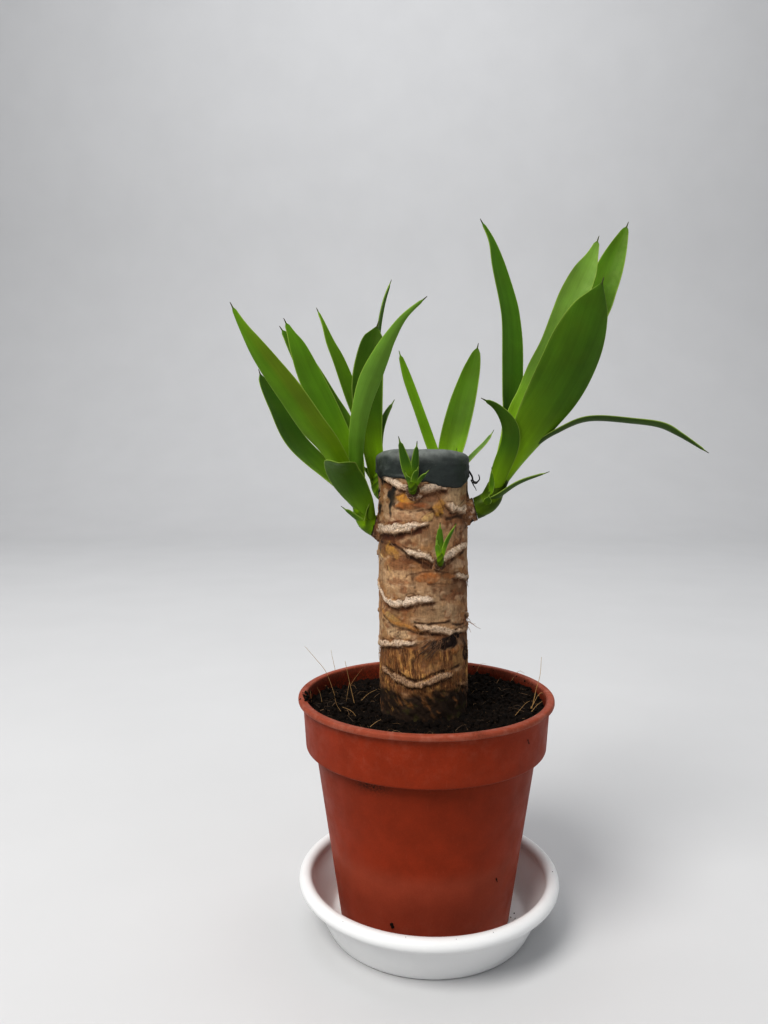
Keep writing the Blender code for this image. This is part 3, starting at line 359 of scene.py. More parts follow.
# Blades
BLADE_THICKNESS = 0.7
BLADE_ROOT_THICKNESS = 1.3
BLADE_ROW = 1.3
BLADE_COLUMNS = 16
AWN_LENGTH = 2.6
AWN_HALF = 0.13
STEM_SIDES = 32
STEM_TONE = 0.8
RIPPLE_SHIFT = 2.4  # so that no two blades ripple alike
USUAL_LOOKS = (0, 0.75)  # shares of grey and of the root's colour, where a blade names neither

# Colours
BARK_TAN = (0.340, 0.195, 0.100)
BARK_PINK = (0.450, 0.290, 0.185)
BARK_GREY = (0.400, 0.290, 0.200)
BARK_BROWN = (0.130, 0.055, 0.025)
SCAR_PALE = (0.95, 0.765, 0.60)
CREASE_DARK = (0.030, 0.012, 0.007)
FIBRE_DARK = (0.085, 0.032, 0.012)
FIBRE_LIGHT = (0.54, 0.31, 0.115)
WAX_BLACK = (0.012, 0.012, 0.011)
WAX_SIDE = (0.021, 0.028, 0.025)
# Paler grey: painted light on the wax's top and bevel, and pale patches on its side
WAX_TOP_LIGHT_AND_PALE_PATCHES = (0.122, 0.133, 0.124)
STUB_TAN = (0.31, 0.155, 0.068)
POT_COLOUR = (0.237, 0.033, 0.011)

LEAF_COOL = (0.038, 0.130, 0.014)
LEAF_WARM = (0.120, 0.225, 0.005)
LEAF_BASE = (0.235, 0.410, 0.004)
LEAF_RIM = (0.27, 0.36, 0.07)
# Greyish green: partly the leaves' own bloom, partly painted sheen where blades catch the light
LEAF_GREY = (0.155, 0.235, 0.075)
LEAF_FLUSH = (0.105, 0.055, 0.008)
AWN_BROWN = (0.045, 0.032, 0.022)

# Saucer, pot and soil
SAUCER_WHITE = (0.745, 0.75, 0.75)
# A whiter colour inside the dish: painted light that lifts the shade there
SAUCER_INSIDE_PAINTED_LIGHT = (0.93, 0.97, 0.98)
SAUCER_DUST = (0.80, 0.76, 0.72)
# Paler red for a painted reflection of the white saucer on the pot's lower body
POT_SAUCER_REFLECTION = (0.290, 0.085, 0.052)
POT_LIP_COLOUR = (0.31, 0.110, 0.070)
SAUCER_STAIN = (0.56, 0.49, 0.42)
SAUCER_SCUFF = (0.55, 0.55, 0.55)
POT_SCRATCH = (0.42, 0.16, 0.11)
POT_DUST = (0.50, 0.27, 0.21)
# Dark soil colour, also used for the painted shade under the pot's collar
WET_SOIL_AND_SHADE = (0.035, 0.018, 0.012)
PEAT_BLACK = (0.0034, 0.0022, 0.0016)
PEAT_BROWN = (0.021, 0.0110, 0.0060)
PEAT_BIT = (0.12, 0.062, 0.030)
PEAT_FIBRE = (0.20, 0.12, 0.055)
STRAW_TAN = (0.42, 0.25, 0.095)
ROOT_HAIR = (0.26, 0.145, 0.060)

# Bark
BARK_CHALK = (0.56, 0.42, 0.31)
BARK_SPECK = (0.07, 0.030, 0.014)
FIBRE_BROWN = (0.31, 0.135, 0.048)
FIBRE_GOLD = (0.66, 0.39, 0.15)
FIBRE_GAP = (0.070, 0.024, 0.009)
SCAR_LOW_SIDE = (0.27, 0.155, 0.090)
SCAR_RAGGED = (0.17, 0.088, 0.048)
# Painted shade in the hollows between a scar's grains, and painted glints on their tops
SCAR_PIT_SHADE = (0.23, 0.125, 0.068)
SCAR_GLINT = (0.92, 0.83, 0.70)
STAIN_DARK = (0.018, 0.0085, 0.004)
STAIN_RUST = (0.230, 0.098, 0.030)
STAIN_GOLD = (0.360, 0.190, 0.050)
STAIN_MOSS = (0.070, 0.062, 0.012)
SHRED_BROWN = (0.22, 0.11, 0.05)
SCAR_SHADE = (0.190, 0.075, 0.030)
# Painted shadow right under a scar's lip
SCAR_UNDER_SHADOW = (0.060, 0.023, 0.011)
SCAR_DULL = (0.29, 0.165, 0.090)
FRAY_BLACK = (0.016, 0.007, 0.005)
HAIR_BROWN = (0.24, 0.12, 0.055)
KNOT_BROWN = (0.20, 0.095, 0.042)
HAIR_TAN = (0.42, 0.23, 0.085)

# Wax, leaves and floor
WAX_INK = (0.006, 0.006, 0.006)
WAX_SPECK = (0.30, 0.28, 0.24)
WAX_SCUFF = (0.12, 0.13, 0.13)
LEAF_YELLOW = (0.085, 0.110, 0.004)
LEAF_BLOOM = (0.16, 0.24, 0.08)
LEAF_SPECK = (0.05, 0.04, 0.015)
FLOOR_DARK = (0.545, 0.545, 0.55)
FLOOR_LIGHT = (0.56, 0.56, 0.565)

# Room and camera, in metres
FLOOR_REACH = 5.0
FLOOR_BEND = (1.6, 1.0)  # where the floor starts to curve up, and the radius of the curve
BACKDROP_TOP = 4.0
ROOM_LIGHT = (0.94, 0.95, 0.97, 1.0)
ROOM_STRENGTH = 0.50
CAMERA_PLACE = (-0.0212, -0.3745, 0.2243)
CAMERA_PITCH = -4.4  # degrees
CAMERA_SENSOR = 36.0
CAMERA_LENS = 28.48
DISPLAY_GAMMA = 0.83

# Area lights: name, place, what they face, size, power and colour
LIGHTS = (
    ("key", (-0.75, -0.80, 1.45), (0, 0, 0.16), 0.9, 31, (1.0, 0.985, 0.955)),
    ("fill", (1.3, -0.8, 0.8), (0, 0, 0.16), 1.2, 3, (0.95, 0.97, 1.0)),
    ("backdrop", (0, 0.7, 2.4), (0, 2.6, 0.7), 2.0, 37, (0.98, 0.99, 1.0)),
)

# Each blade: (x, y, z, half width) along its centre line from root to tip, reach of the root round the
# stem in degrees, curl of the open blade in degrees, the way that its inner face looks, and its looks:
# tone (1 is middling), warmth from 0 (bluish) to 1 (yellowish), crease along its middle from 0 to 1, a
# brown flush on its left (negative) or right side, and for some the share of grey above the root, which is
# partly the leaf's bloom and partly painted sheen, and the share of the pale root's colour, where a
# negative share paints shade over the root instead.
SHOOT_LEFT = {
    "root": (-23.7, 1.0, 188.3),
    "way": (-0.97, -0.05, 0.25),
    "stub": (4.9, 2.4),
    "stem": ((-30.0, 0.0, 192.5), (-32.3, -1.0, 198.5), (-34.3, -1.5, 206.0)),
    "stem_radii": (4.7, 4.4, 3.6, 2.6),
    "blades": (
        (((-34, -4, 202, 4.3), (-44.6, -12, 223.4, 5.7), (-53.5, -18, 235.4, 6.7), (-62.0, -23, 248.6, 6.4),
          (-69.7, -25, 259, 5.5), (-75.5, -27, 267.4, 4.2), (-81.1, -27.5, 276.6, 2.1),
          (-86, -28, 286.2, 0.4)),
         80, 22, (0.3, 0.9, 0.3), (1.2, 0.66, 0.45, -0.65)),
        (((-33, 0, 199, 4.3), (-48.8, 3, 213.6, 6.8), (-62.8, 5, 227.4, 7.9), (-71.8, 7, 243.2, 6.0),
          (-77.2, 8, 254, 3.7), (-80, 9, 262, 0.4)),
         80, 25, (0.6, -0.5, 0.5), (0.72, 0.35, 0.1, 0)),
        (((-34, 0, 203, 4), (-39, 2, 222, 5.6), (-46, 3, 238, 6.3), (-54.9, 3, 256.3, 6.1),
          (-60.6, 2, 270.3, 4.3), (-64, 1.5, 277.6, 2), (-67, 1, 284.2, 0.4)),
         80, 22, (0.35, -0.9, 0.2), (1.22, 0.55, 0.3, 0)),
        (((-33, 2, 203, 4), (-38, 8, 229, 5.6), (-48.4, 12, 247.4, 5.6), (-60, 15, 266.6, 4.6),
          (-71, 17, 283, 0.4)),
         80, 22, (0.3, -0.95, 0.1), (0.8, 0.45, 0.2, 0)),
        (((-33, -3, 202, 3.6), (-33.4, -5, 220, 3.8), (-32.8, -8, 232.7, 4.2), (-30.6, -10, 244.2, 4.8),
          (-27.1, -12, 254.7, 5.5), (-22.7, -14, 264.5, 4.6), (-18.5, -15, 273, 3.1), (-12, -15, 282.6, 1.5),
          (-2.4, -15, 291, 0.4)),
         80, 28, (-0.4, 0.9, 0.2), (1.6, 0.6, 0.2, 0, 0.42, 0)),
        (((-28.5, -3, 192, 4.2), (-32.6, -7, 201, 6.6), (-36.9, -12, 208.6, 8.3), (-39.6, -17, 213.8, 8.0),
          (-40.4, -23, 217.4, 7.2), (-40.6, -27.5, 218.8, 5.0)),
         80, 25, (0.1, 0.7, 0.7), (0.76, 0.45, 0.0, 0, 0, 0.5)),
        (((-28, -2, 189.5, 2.4), (-32, -3, 191.5, 2.4), (-36.5, -3.3, 195, 1.7), (-41, -3.5, 198.5, 0.4)),
         70, 30, (0.5, 0.6, 0.6), (0.9, 0.5, 0.0, 0)),
        (((-29.5, -4, 192, 1.6), (-28.6, -6, 197, 1.2), (-27.6, -7, 201, 0.4)),
         60, 30, (-0.9, 0.3, 0.0), (0.7, 0.4, 0.0, 0)),
        (((-31.5, 1, 200, 1.5), (-31.8, 1, 208, 1.1), (-31.8, 0, 214.5, 0.4)),
         60, 30, (-0.8, 0.5, 0.0), (0.7, 0.4, 0.0, 0)),
    ),
}
SHOOT_BACK_LEFT = {
    "root": (-19.9, 12.0, 202.6),
    "way": (-0.78, 0.57, 0.25),
    "stub": (3.9, 2.2),
    "stem": ((-24.0, 15.2, 206.5), (-24.8, 17.5, 212.0)),
    "stem_radii": (3.7, 3.3, 2.4),
    "blades": (
        (((-24, 16, 207, 4.2), (-25.7, 16, 219.4, 4.8), (-27.2, 16, 229, 5.4), (-28.8, 15, 243.2, 7.1),
          (-29, 14, 257.3, 7.6), (-27.2, 14, 271.3, 6.3), (-25.6, 14.5, 278.3, 4.3), (-23.8, 15, 285, 0.4)),
         80, 26, (0.0, -1.0, 0.1), (0.60, 0.45, 0.6, 0, 0, 0.95)),
        (((-24, 18, 208, 2.6), (-29.1, 23, 228.8, 3.8), (-36.8, 26, 249.6, 4.2), (-43.3, 28, 266.8, 3.5),
          (-47.8, 29, 276.9, 2.4), (-51, 30, 286, 1.1), (-54.5, 31, 294, 0.4)),
         80, 25, (0.4, -0.8, 0.3), (1.0, 0.7, 0.5, 0)),
        (((-24, 18, 208, 2.6), (-25, 26, 248, 3.4), (-24.5, 29, 278, 3.1), (-22, 31, 295, 2.2),
          (-17.5, 33, 308, 0.4)),
         80, 25, (0.95, -0.25, 0.0), (0.85, 0.4, 0.2, 0)),
        (((-23.5, 19, 208, 1.6), (-23, 25, 229, 1.5), (-21, 27, 239.5, 1.6), (-16, 29, 249, 0.4)),
         80, 30, (-0.3, -0.9, 0.0), (1.2, 0.3, 0.2, 0, 0.5, 0)),
        (((-23.5, 15.5, 206, 2), (-27.5, 15, 212, 1.9), (-32, 15, 217.5, 0.4)),
         60, 25, (0.2, -0.8, 0.6), (0.95, 0.6, 0.0, 0)),
    ),
}
SHOOT_BACK = {
    "root": (6.6, 17.9, 202.6),
    "way": (0.47, 0.85, 0.25),
    "stub": (4.0, 2.3),
    "stem": ((8.9, 23.6, 206.5), (9.6, 25.6, 212.0)),
    "stem_radii": (3.8, 3.4, 2.6),
    "blades": (
        (((8.5, 24.8, 208, 2.6), (2.9, 31.5, 224.6, 2.9), (-3.6, 35, 243.3, 2.7), (-8.9, 37, 258.3, 2.5),
          (-11.8, 37.5, 267.4, 1.6), (-13.7, 38, 274, 0.4)),
         80, 25, (0.3, -0.95, 0.1), (1.6, 0.75, 0.3, 0)),
        (((9.5, 24.8, 208, 4.2), (12.8, 33, 224.6, 6.8), (17.6, 37, 244.2, 6.9), (22.1, 39, 260.3, 5.2),
          (24.6, 39.5, 269.4, 3.3), (26.5, 40, 278, 0.4)),
         80, 22, (-0.3, -0.9, 0.1), (0.88, 0.6, 0.3, 0)),
        (((10.5, 24.5, 206.5, 2.3), (15.5, 28, 212.7, 2.6), (23.2, 31, 221.1, 2.7), (30.0, 33, 228.1, 2.0),
          (34, 34, 234.2, 0.4)),
         80, 25, (-0.6, -0.3, 0.7), (0.85, 0.4, 0.2, 0, 0.4, 0)),
        (((10, 24, 207, 1.6), (13, 26.5, 215, 1.2), (14.8, 27, 225, 0.4)),
         60, 25, (0.0, -1.0, 0.0), (0.7, 0.4, 0.0, 0)),
    ),
}
SHOOT_RIGHT = {
    "root": (17.0, -3.4, 196.4),
    "way": (0.96, -0.12, 0.25),
    "stub": (5.1, 3.7),
    "stem": ((26.8, -5.0, 201.0), (31.2, -6.0, 210.0), (35.5, -6.5, 218.5)),
    "stem_radii": (4.9, 4.8, 4.0, 2.6),
    "stem_tone": 0.3,
    "blades": (
        # The first blade's root is darkened by painted shade (a negative share of the root's colour).
        (((30, -2, 207, 4), (35, 3, 224, 4.6), (37.9, 6.5, 238, 5), (38.6, 9, 252, 5.5),
          (38.8, 11, 271, 5.6), (38, 12, 285, 5), (36.3, 12, 294.5, 4.6), (32, 11.5, 310.3, 3.5),
          (28.6, 11, 321.6, 1.6), (23.3, 10, 331, 0.4)),
         80, 25, (0.3, -0.9, 0.0), (1.0, 0.35, 0.2, 0, 0, -0.9)),
        (((31, -3, 208, 4.2), (39.5, 3, 238, 4.6), (45.3, 5, 249.6, 5), (51.5, 7, 261.4, 6),
          (57.8, 9, 273.1, 6.1), (63.6, 11, 287.2, 6.4), (67.9, 12, 296.6, 6.8), (73, 13, 307.2, 5.7),
          (76.7, 13.5, 315.6, 2.7), (79.6, 14, 324.2, 0.4)),
         80, 22, (-0.2, -0.95, 0.2), (1.4, 0.75, 0.2, 0, 0.5, 1.0)),
        (((32, -2, 209, 4.2), (44, 9, 232.5, 5), (63, 18, 260, 6.5), (79.5, 24, 289, 7.5),
          (84.7, 26, 301.6, 7.3), (88.9, 28, 312.5, 6.6), (93, 29, 322.7, 4.4), (98, 30, 335, 0.4)),
         80, 22, (-0.3, -0.9, 0.1), (0.9, 0.55, 0.2, 0)),
        (((30, -8, 206, 4.6), (37.3, -11, 219.3, 6.5), (43.1, -14, 229.8, 9.0), (48.8, -17, 240.1, 11.8),
          (54.4, -19, 250.1, 13.7), (59.8, -21, 261.1, 14.2), (63.9, -23, 271.7, 13.3),
          (67.3, -24, 282.7, 9.9), (70.2, -25, 291.8, 4.1), (71.9, -25, 297.2, 0.5)),
         80, 20, (-0.3, 0.9, 0.3), (0.80, 0.45, 0.1, 0.10, 0, 0.95)),
        (((27.5, -8, 204, 3.6), (30.5, -12, 215, 4.3), (34.1, -16, 226.5, 4.4), (33.5, -18, 235, 3.7),
          (28, -20, 242.5, 1.8), (20.6, -23, 246.5, 0.4)),
         80, 28, (0.4, 0.85, 0.2), (0.57, 0.42, 0.3, 0)),
        (((30, -6, 205, 3.6), (37.5, -8, 217, 3.6), (49.5, -9, 227.8, 2.8), (57.5, -10, 232.6, 3.0),
          (66.5, -11, 236.6, 3.5), (75, -12, 237.6, 3.5), (88, -13, 236.5, 3.3), (101, -14, 234.6, 3.1),
          (110, -14, 230.6, 1.9), (123, -14, 222.8, 0.4)),
         80, 34, (-0.2, 0.3, 0.93), (0.34, 0.2, 0.2, 0, 0.2, 0)),
        (((24.5, -6, 198.5, 3), (31, -9, 203.3, 2.9), (40, -10, 209.4, 2.3), (53, -11, 214.5, 0.4)),
         80, 34, (-0.3, 0.35, 0.85), (0.45, 0.25, 0.0, 0, 0.25, 0)),
        (((26, -8.5, 202, 1.6), (27.4, -9.7, 209, 1.3), (27.3, -9.7, 216.5, 0.4)),
         60, 30, (0.6, 0.7, 0.0), (0.75, 0.4, 0.0, 0)),
        (((25, -9, 199.5, 2), (25.8, -11, 202.5, 1.6), (26.3, -11.7, 205.8, 0.4)),
         60, 30, (0.2, 0.9, 0.2), (0.45, 0.5, 0.0, 0, 0, 0.3)),
    ),
}
BUD_UPPER = {
    "root": (-8.2, -19.7, 205.8),
    "way": (-0.22, -0.93, 0.3),
    "stub": (2.8, 2.2),
    "stem": ((-8.8, -24.4, 208.6), (-8.8, -24.9, 212.0)),
    "stem_radii": (1.8, 2.0, 1.4),
    "stem_tone": 0.38,
    "blades": (
        (((-9, -24.4, 209, 1.8), (-11.7, -25.3, 217.5, 2.5), (-15, -25.7, 230, 0.4)),
         70, 30, (0.2, 0.9, 0.2), (0.62, 0.3, 0.4, 0)),
        (((-8.2, -24.4, 209, 1.4), (-7.8, -25.3, 218, 1.9), (-7, -26.2, 228, 0.4)),
         70, 30, (-0.2, 0.9, 0.0), (0.66, 0.3, 0.4, 0)),
        (((-9.5, -24.6, 208.5, 1.3), (-11, -26, 212, 1.4), (-12.4, -27, 215.5, 0.4)),
         60, 30, (0.5, 0.7, 0.3), (0.7, 0.35, 0.3, 0)),
        (((-8.6, -25.2, 208.5, 1.4), (-7.8, -27, 213, 1.5), (-6.2, -28.4, 218, 0.4)),
         60, 30, (-0.2, 0.9, 0.3), (0.7, 0.35, 0.3, 0)),
        (((-7.8, -24.6, 208.5, 1.4), (-5, -25.4, 212, 1.5), (-1.5, -26.4, 216, 0.4)),
         60, 30, (-0.6, 0.6, 0.4), (0.7, 0.35, 0.3, 0)),
    ),
}
BUD_LOWER = {
    "root": (2.9, -19.2, 173.6),
    "way": (0.28, -0.91, 0.3),
    "stub": (2.3, 2.0),
    "stem": ((3.4, -23.6, 176.2), (3.3, -24.0, 179.5)),
    "stem_radii": (1.3, 1.6, 1.1),
    "stem_tone": 0.42,
    "blades": (
        (((3.3, -23.8, 177, 1.3), (3.0, -24.4, 184, 1.8), (3.1, -25.2, 193, 0.4)),
         70, 30, (0.0, 0.9, 0.1), (0.95, 0.45, 0.4, 0)),
        (((3.9, -23.8, 177, 1.1), (6, -24.4, 184, 1.3), (10.2, -24.8, 192.5, 0.4)),
         60, 30, (-0.5, 0.7, 0.2), (0.9, 0.45, 0.3, 0)),
        (((2.9, -24.2, 177, 1.1), (2.0, -25.1, 181.5, 1.2), (1.8, -25.6, 186, 0.4)),
         60, 30, (0.3, 0.8, 0.2), (1.0, 0.5, 0.3, 0)),
    ),
}
SHOOTS = {
    "shoot_left": SHOOT_LEFT,
    "shoot_back_left": SHOOT_BACK_LEFT,
    "shoot_back": SHOOT_BACK,
    "shoot_right": SHOOT_RIGHT,
    "bud_upper": BUD_UPPER,
    "bud_lower": BUD_LOWER,
}

# Straws and root hairs that stand in the soil: points and a thickness at the root
STRAWS = (
    (((-44.1, 12.6, 101), (-46.1, 12.6, 107.5), (-49.4, 12.6, 116.4), (-54.3, 12.4, 122.9),
      (-59.6, 12, 129.3)), 0.34),
    (((-46.5, 45.0, 101), (-47.0, 45.0, 108.5), (-48.1, 45.0, 113.8), (-49.1, 45.0, 119.2)), 0.3),
    (((-35.2, 7.9, 101), (-36.6, 7.9, 107.4), (-38.0, 7.9, 113.8), (-39.9, 7.9, 123.1)), 0.5),
    (((-37.4, 7.9, 111.0), (-35.6, 8.4, 114.0), (-31.6, 9.2, 119.2)), 0.2),
    (((-37.8, 7.9, 112.6), (-38.6, 7.4, 108.5), (-39.4, 7.0, 103.5)), 0.3),
    (((-33.0, 14.2, 101), (-29.0, 14.2, 105.0), (-24.6, 13.8, 107.5)), 0.4),
    (((-51.1, 7.8, 103), (-52.0, 7.8, 107.4), (-53.5, 7.8, 110.4)), 0.3),
    (((-54.9, -3.0, 104), (-55.3, -3.0, 108.2), (-55.6, -3.0, 111.6)), 0.3),
    (((-46.8, 25, 102), (-48.7, 25, 104.2), (-50.9, 25, 106.4)), 0.3),
    (((47.2, -5.7, 102), (49.4, -5.7, 113.0), (51.2, -5.7, 120.1), (51.7, -5.7, 128.6)), 0.4),
    (((51.0, 5.4, 102), (53.2, 5.2, 107.8), (54.4, 5, 108.4), (55.2, 4.6, 106.0), (54.6, 4.4, 102)), 0.4),
    (((37.1, -14.1, 102), (42.9, -13.8, 108.9), (45.1, -13.6, 110.3)), 0.35),
    (((20.5, 18.5, 101), (21.8, 18.5, 103.5), (23.4, 18.4, 105.6)), 0.3),
    (((26.3, -23.3, 101.6), (28.3, -23.3, 103.2), (30.3, -23.5, 103.1)), 0.3),
    (((-28.3, -25.9, 101.6), (-25.2, -25.9, 104.3), (-22.5, -25.8, 105.9)), 0.35),
    (((27.0, 47.0, 105), (30.2, 49.0, 110.6), (33.5, 50.0, 110.2)), 0.25),
    (((43.5, -9.0, 101.5), (47.0, -8.6, 106.0), (50.0, -8.0, 111.5)), 0.5),
    (((44.0, -12.0, 101.5), (48.5, -10.0, 106.5), (52.0, -8.0, 108.5)), 0.45),
    (((48.0, -2.0, 102), (49.6, -2.0, 108.5), (50.4, -2.0, 114.0)), 0.3),
    (((-33.0, -12.0, 101), (-36.0, -12.0, 105.0), (-40.5, -11.8, 107.0)), 0.4),
    (((-40.0, -8.0, 102), (-43.0, -8.0, 106.6), (-44.0, -8.0, 110.6)), 0.3),
    (((43.0, 32.0, 105), (47.9, 34.2, 110.8), (51.1, 35.0, 109.4)), 0.3),
)


def smooth(value):
    """Eases from 0 to 1 and holds beyond."""
    t = np.clip(value, 0.0, 1.0)
    return t * t * (3 - 2 * t)


def bell(offset, width):
    """1 at no offset, and falling away smoothly on both sides."""
    return np.exp(-(offset / width) ** 2)


def turn_between(a, b):
    """Signed difference of azimuths, in degrees."""
    return (a - b + 180) % 360 - 180


def outward(azimuth):
    """Level unit vectors at azimuths."""
    turn = np.radians(azimuth)
    return np.stack([np.sin(turn), -np.cos(turn), np.zeros_like(turn)], axis=-1)


def cane_axis(height):
    """Where the leaning cane's axis is along X."""
    return CANE_AXIS_AT_100[0] + CANE_LEAN * (height - 100)


def unit(vector):
    """A vector of length 1 that points the same way."""
    return np.array(vector, float) / np.linalg.norm(vector)


def grain(azimuth, height, around, cell, seed):
    """Smooth random values from -1 to 1: around cells once round, and cells of a height in millimetres."""
    rows = 97
    table = np.random.default_rng(seed).uniform(-1, 1, (rows, around))
    x = np.asarray(azimuth) / 360 * around
    y = np.asarray(height) / cell + 0.37
    i, j = np.floor(x).astype(int), np.floor(y).astype(int)
    fx, fy = smooth(x - i), smooth(y - j)
    values = 0
    for row, share_y in ((j, 1 - fy), (j + 1, fy)):
        for column, share_x in ((i, 1 - fx), (i + 1, fx)):
            values = values + table[row % rows, column % around] * share_x * share_y
    return values


def layers(azimuth, height, around, cell, seed, count=3):
    """Grain in layers, each half as large and half as strong as the one before."""
    return sum(grain(azimuth, height, around * 2 ** k, cell / 2 ** k, seed + k) / 2 ** k
               for k in range(count))


def filled(like, colour):
    """One colour at every place of an array."""
    return np.ones((*np.shape(like), 3)) * colour


def tinted(base, colour, share):
    """Mixes a colour into an array of colours."""
    share = np.clip(share, 0, 1)[..., None]
    return base * (1 - share) + np.asarray(colour) * share


def line_distance(across, up, points):
    """Distance in a plane from arrays of places to a line through points."""
    nearest = np.full(across.shape, 1e9)
    for (ax, ay), (bx, by) in zip(points, points[1:]):
        dx, dy = bx - ax, by - ay
        t = np.clip(((across - ax) * dx + (up - ay) * dy) / (dx * dx + dy * dy), 0, 1)
        nearest = np.minimum(nearest, np.hypot(across - ax - t * dx, up - ay - t * dy))
    return nearest


class Shape:
    """A mesh in the making: points in millimetres, faces, and named values and a colour at the points."""

    def __init__(self, *value_names):
        self.points = []
        self.faces = []
        self.tints = []
        self.values = {name: [] for name in value_names}
        self.count = 0

    def add(self, points, faces, tint=(0.5, 0.5, 0.5), **values):
        points = np.asarray(points, float).reshape(-1, 3)
        size = len(points)
        self.points.append(points)
        self.faces += [[self.count + i for i in face] for face in faces]
        self.tints.append(np.broadcast_to(np.asarray(tint, float).reshape(-1, 3), (size, 3)))
        for name, kept in self.values.items():
            value = np.asarray(values.get(name, 0.0), float).reshape(-1)
            kept.append(np.broadcast_to(value, (size,)))
        self.count += size

    def add_grid(self, grid, caps=(0, -1), **looks):
        """Quads over rows of points, closed round each row, with the capped rows filled."""
        rows, columns = grid.shape[:2]
        here = np.arange(rows * columns).reshape(rows, columns)
        there = np.roll(here, -1, axis=1)
        quads = np.stack([here[:-1], there[:-1], there[1:], here[1:]], axis=-1).reshape(-1, 4)
        self.add(grid, quads.tolist() + [here[row].tolist() for row in caps], **looks)


def link(name, data):
    obj = bpy.data.objects.new(name, data)
    bpy.context.scene.collection.objects.link(obj)
    return obj


def finish_mesh(name, shape, material, sharp):
    """An object from a shape, faces turned outward, with edges sharp beyond an angle in degrees."""
    mesh = bpy.data.meshes.new(name)
    points = np.concatenate(shape.points) * MM
    mesh.from_pydata(points.tolist(), [], shape.faces)
    for value_name, kept in shape.values.items():
        mesh.attributes.new(value_name, "FLOAT", "POINT").data.foreach_set("value", np.concatenate(kept))
    tints = np.concatenate(shape.tints)
    colours = np.concatenate([tints, np.ones((len(tints), 1))], axis=1)
    mesh.attributes.new("tint", "FLOAT_COLOR", "POINT").data.foreach_set("color", colours.ravel())
    sheet = bmesh.new()
    sheet.from_mesh(mesh)
    bmesh.ops.recalc_face_normals(sheet, faces=sheet.faces)
    sheet.to_mesh(mesh)
    sheet.free()
    mesh.materials.append(material)
    mesh.shade_smooth()
    mesh.set_sharp_from_angle(angle=math.radians(sharp))
    return link(name, mesh)


def place_piece(obj, slot, *nodes):
    """The piece rides the root and takes the place of nodes. Its slot is not used."""
    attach(obj, "root")
    if nodes:
        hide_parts(*nodes)


# Colour sockets of the mix node
MIX_A, MIX_B, MIX_RESULT = 6, 7, 2


class Recipe:
    """A material in the making: shade and coat change its colour, and bump its normal."""

    def __init__(self, name, colour=None):
        self.material = bpy.data.materials.new(name)
        self.material.use_nodes = True
        self.tree = self.material.node_tree
        self.shader = self.tree.nodes["Principled BSDF"]
        self.colour = colour or self.node("ShaderNodeAttribute", attribute_name="tint").outputs["Color"]
        self.normal = None

    def node(self, kind, **settings):
        made = self.tree.nodes.new(kind)
        for key, value in settings.items():
            setattr(made, key, value)
        return made

    def feed(self, socket, value):
        if isinstance(value, bpy.types.NodeSocket):
            self.tree.links.new(value, socket)
        elif isinstance(value, tuple) and len(value) == 3 and socket.type == "RGBA":
            socket.default_value = (*value, 1.0)
        else:
            socket.default_value = value

    def value(self, name):
        return self.node("ShaderNodeAttribute", attribute_name=name).outputs["Fac"]

    def place(self, *stretch):
        """Place on the object in millimetres, stretched: a low number draws the pattern out that way."""
        mapping = self.node("ShaderNodeMapping")
        self.feed(mapping.inputs["Vector"], self.node("ShaderNodeTexCoord").outputs["Object"])
        mapping.inputs["Scale"].default_value = [s / MM for s in stretch or (1, 1, 1)]
        return mapping.outputs["Vector"]

    def noise(self, place, size, detail=3.0, roughness=0.5):
        made = self.node("ShaderNodeTexNoise")
        self.feed(made.inputs["Vector"], place)
        made.inputs["Scale"].default_value = 1 / size
        made.inputs["Detail"].default_value = detail
        made.inputs["Roughness"].default_value = roughness
        return made.outputs["Fac"]

    def cells(self, place, size):
        """Distance from the middles of random cells."""
        made = self.node("ShaderNodeTexVoronoi")
        self.feed(made.inputs["Vector"], place)
        made.inputs["Scale"].default_value = 1 / size
        return made.outputs["Distance"]

    def span(self, value, low, high, to_low=0.0, to_high=1.0):
        """Takes low to high in a value to a new range, and holds beyond."""
        made = self.node("ShaderNodeMapRange")
        names = ("Value", "From Min", "From Max", "To Min", "To Max")
        for name, number in zip(names, (value, low, high, to_low, to_high)):
            self.feed(made.inputs[name], number)
        return made.outputs["Result"]

    def math(self, operation, a, b):
        made = self.node("ShaderNodeMath", operation=operation)
        self.feed(made.inputs[0], a)
        self.feed(made.inputs[1], b)
        return made.outputs[0]

    def times(self, a, b):
        return self.math("MULTIPLY", a, b)

    def plus(self, a, b):
        return self.math("ADD", a, b)

    def shade(self, strength):
        """Makes the colour lighter or darker by a value, where 1 leaves it."""
        made = self.node("ShaderNodeVectorMath", operation="SCALE")
        self.feed(made.inputs[0], self.colour)
        self.feed(made.inputs["Scale"], strength)
        self.colour = made.outputs[0]

    def coat(self, colour, share, strength=1.0):
        """Lays another colour over the colour, by a share and a strength."""
        made = self.node("ShaderNodeMix", data_type="RGBA")
        self.feed(made.inputs["Factor"], self.times(share, strength))
        self.feed(made.inputs[MIX_A], self.colour)
        self.feed(made.inputs[MIX_B], colour)
        self.colour = made.outputs[MIX_RESULT]

    def bump(self, height, depth):
        """Adds a bump of a height from 0 to 1 and a depth in millimetres."""
        made = self.node("ShaderNodeBump")
        made.inputs["Distance"].default_value = depth * MM
        self.feed(made.inputs["Height"], height)
        if self.normal:
            self.feed(made.inputs["Normal"], self.normal)
        self.normal = made.outputs["Normal"]

    def finish(self, roughness, **inputs):
        """Feeds the shader, whose sockets are named with underscores for spaces."""
        inputs |= {"Base_Color": self.colour, "Roughness": roughness}
        if self.normal:
            inputs["Normal"] = self.normal
        for name, value in inputs.items():
            self.feed(self.shader.inputs[name.replace("_", " ")], value)
        return self.material


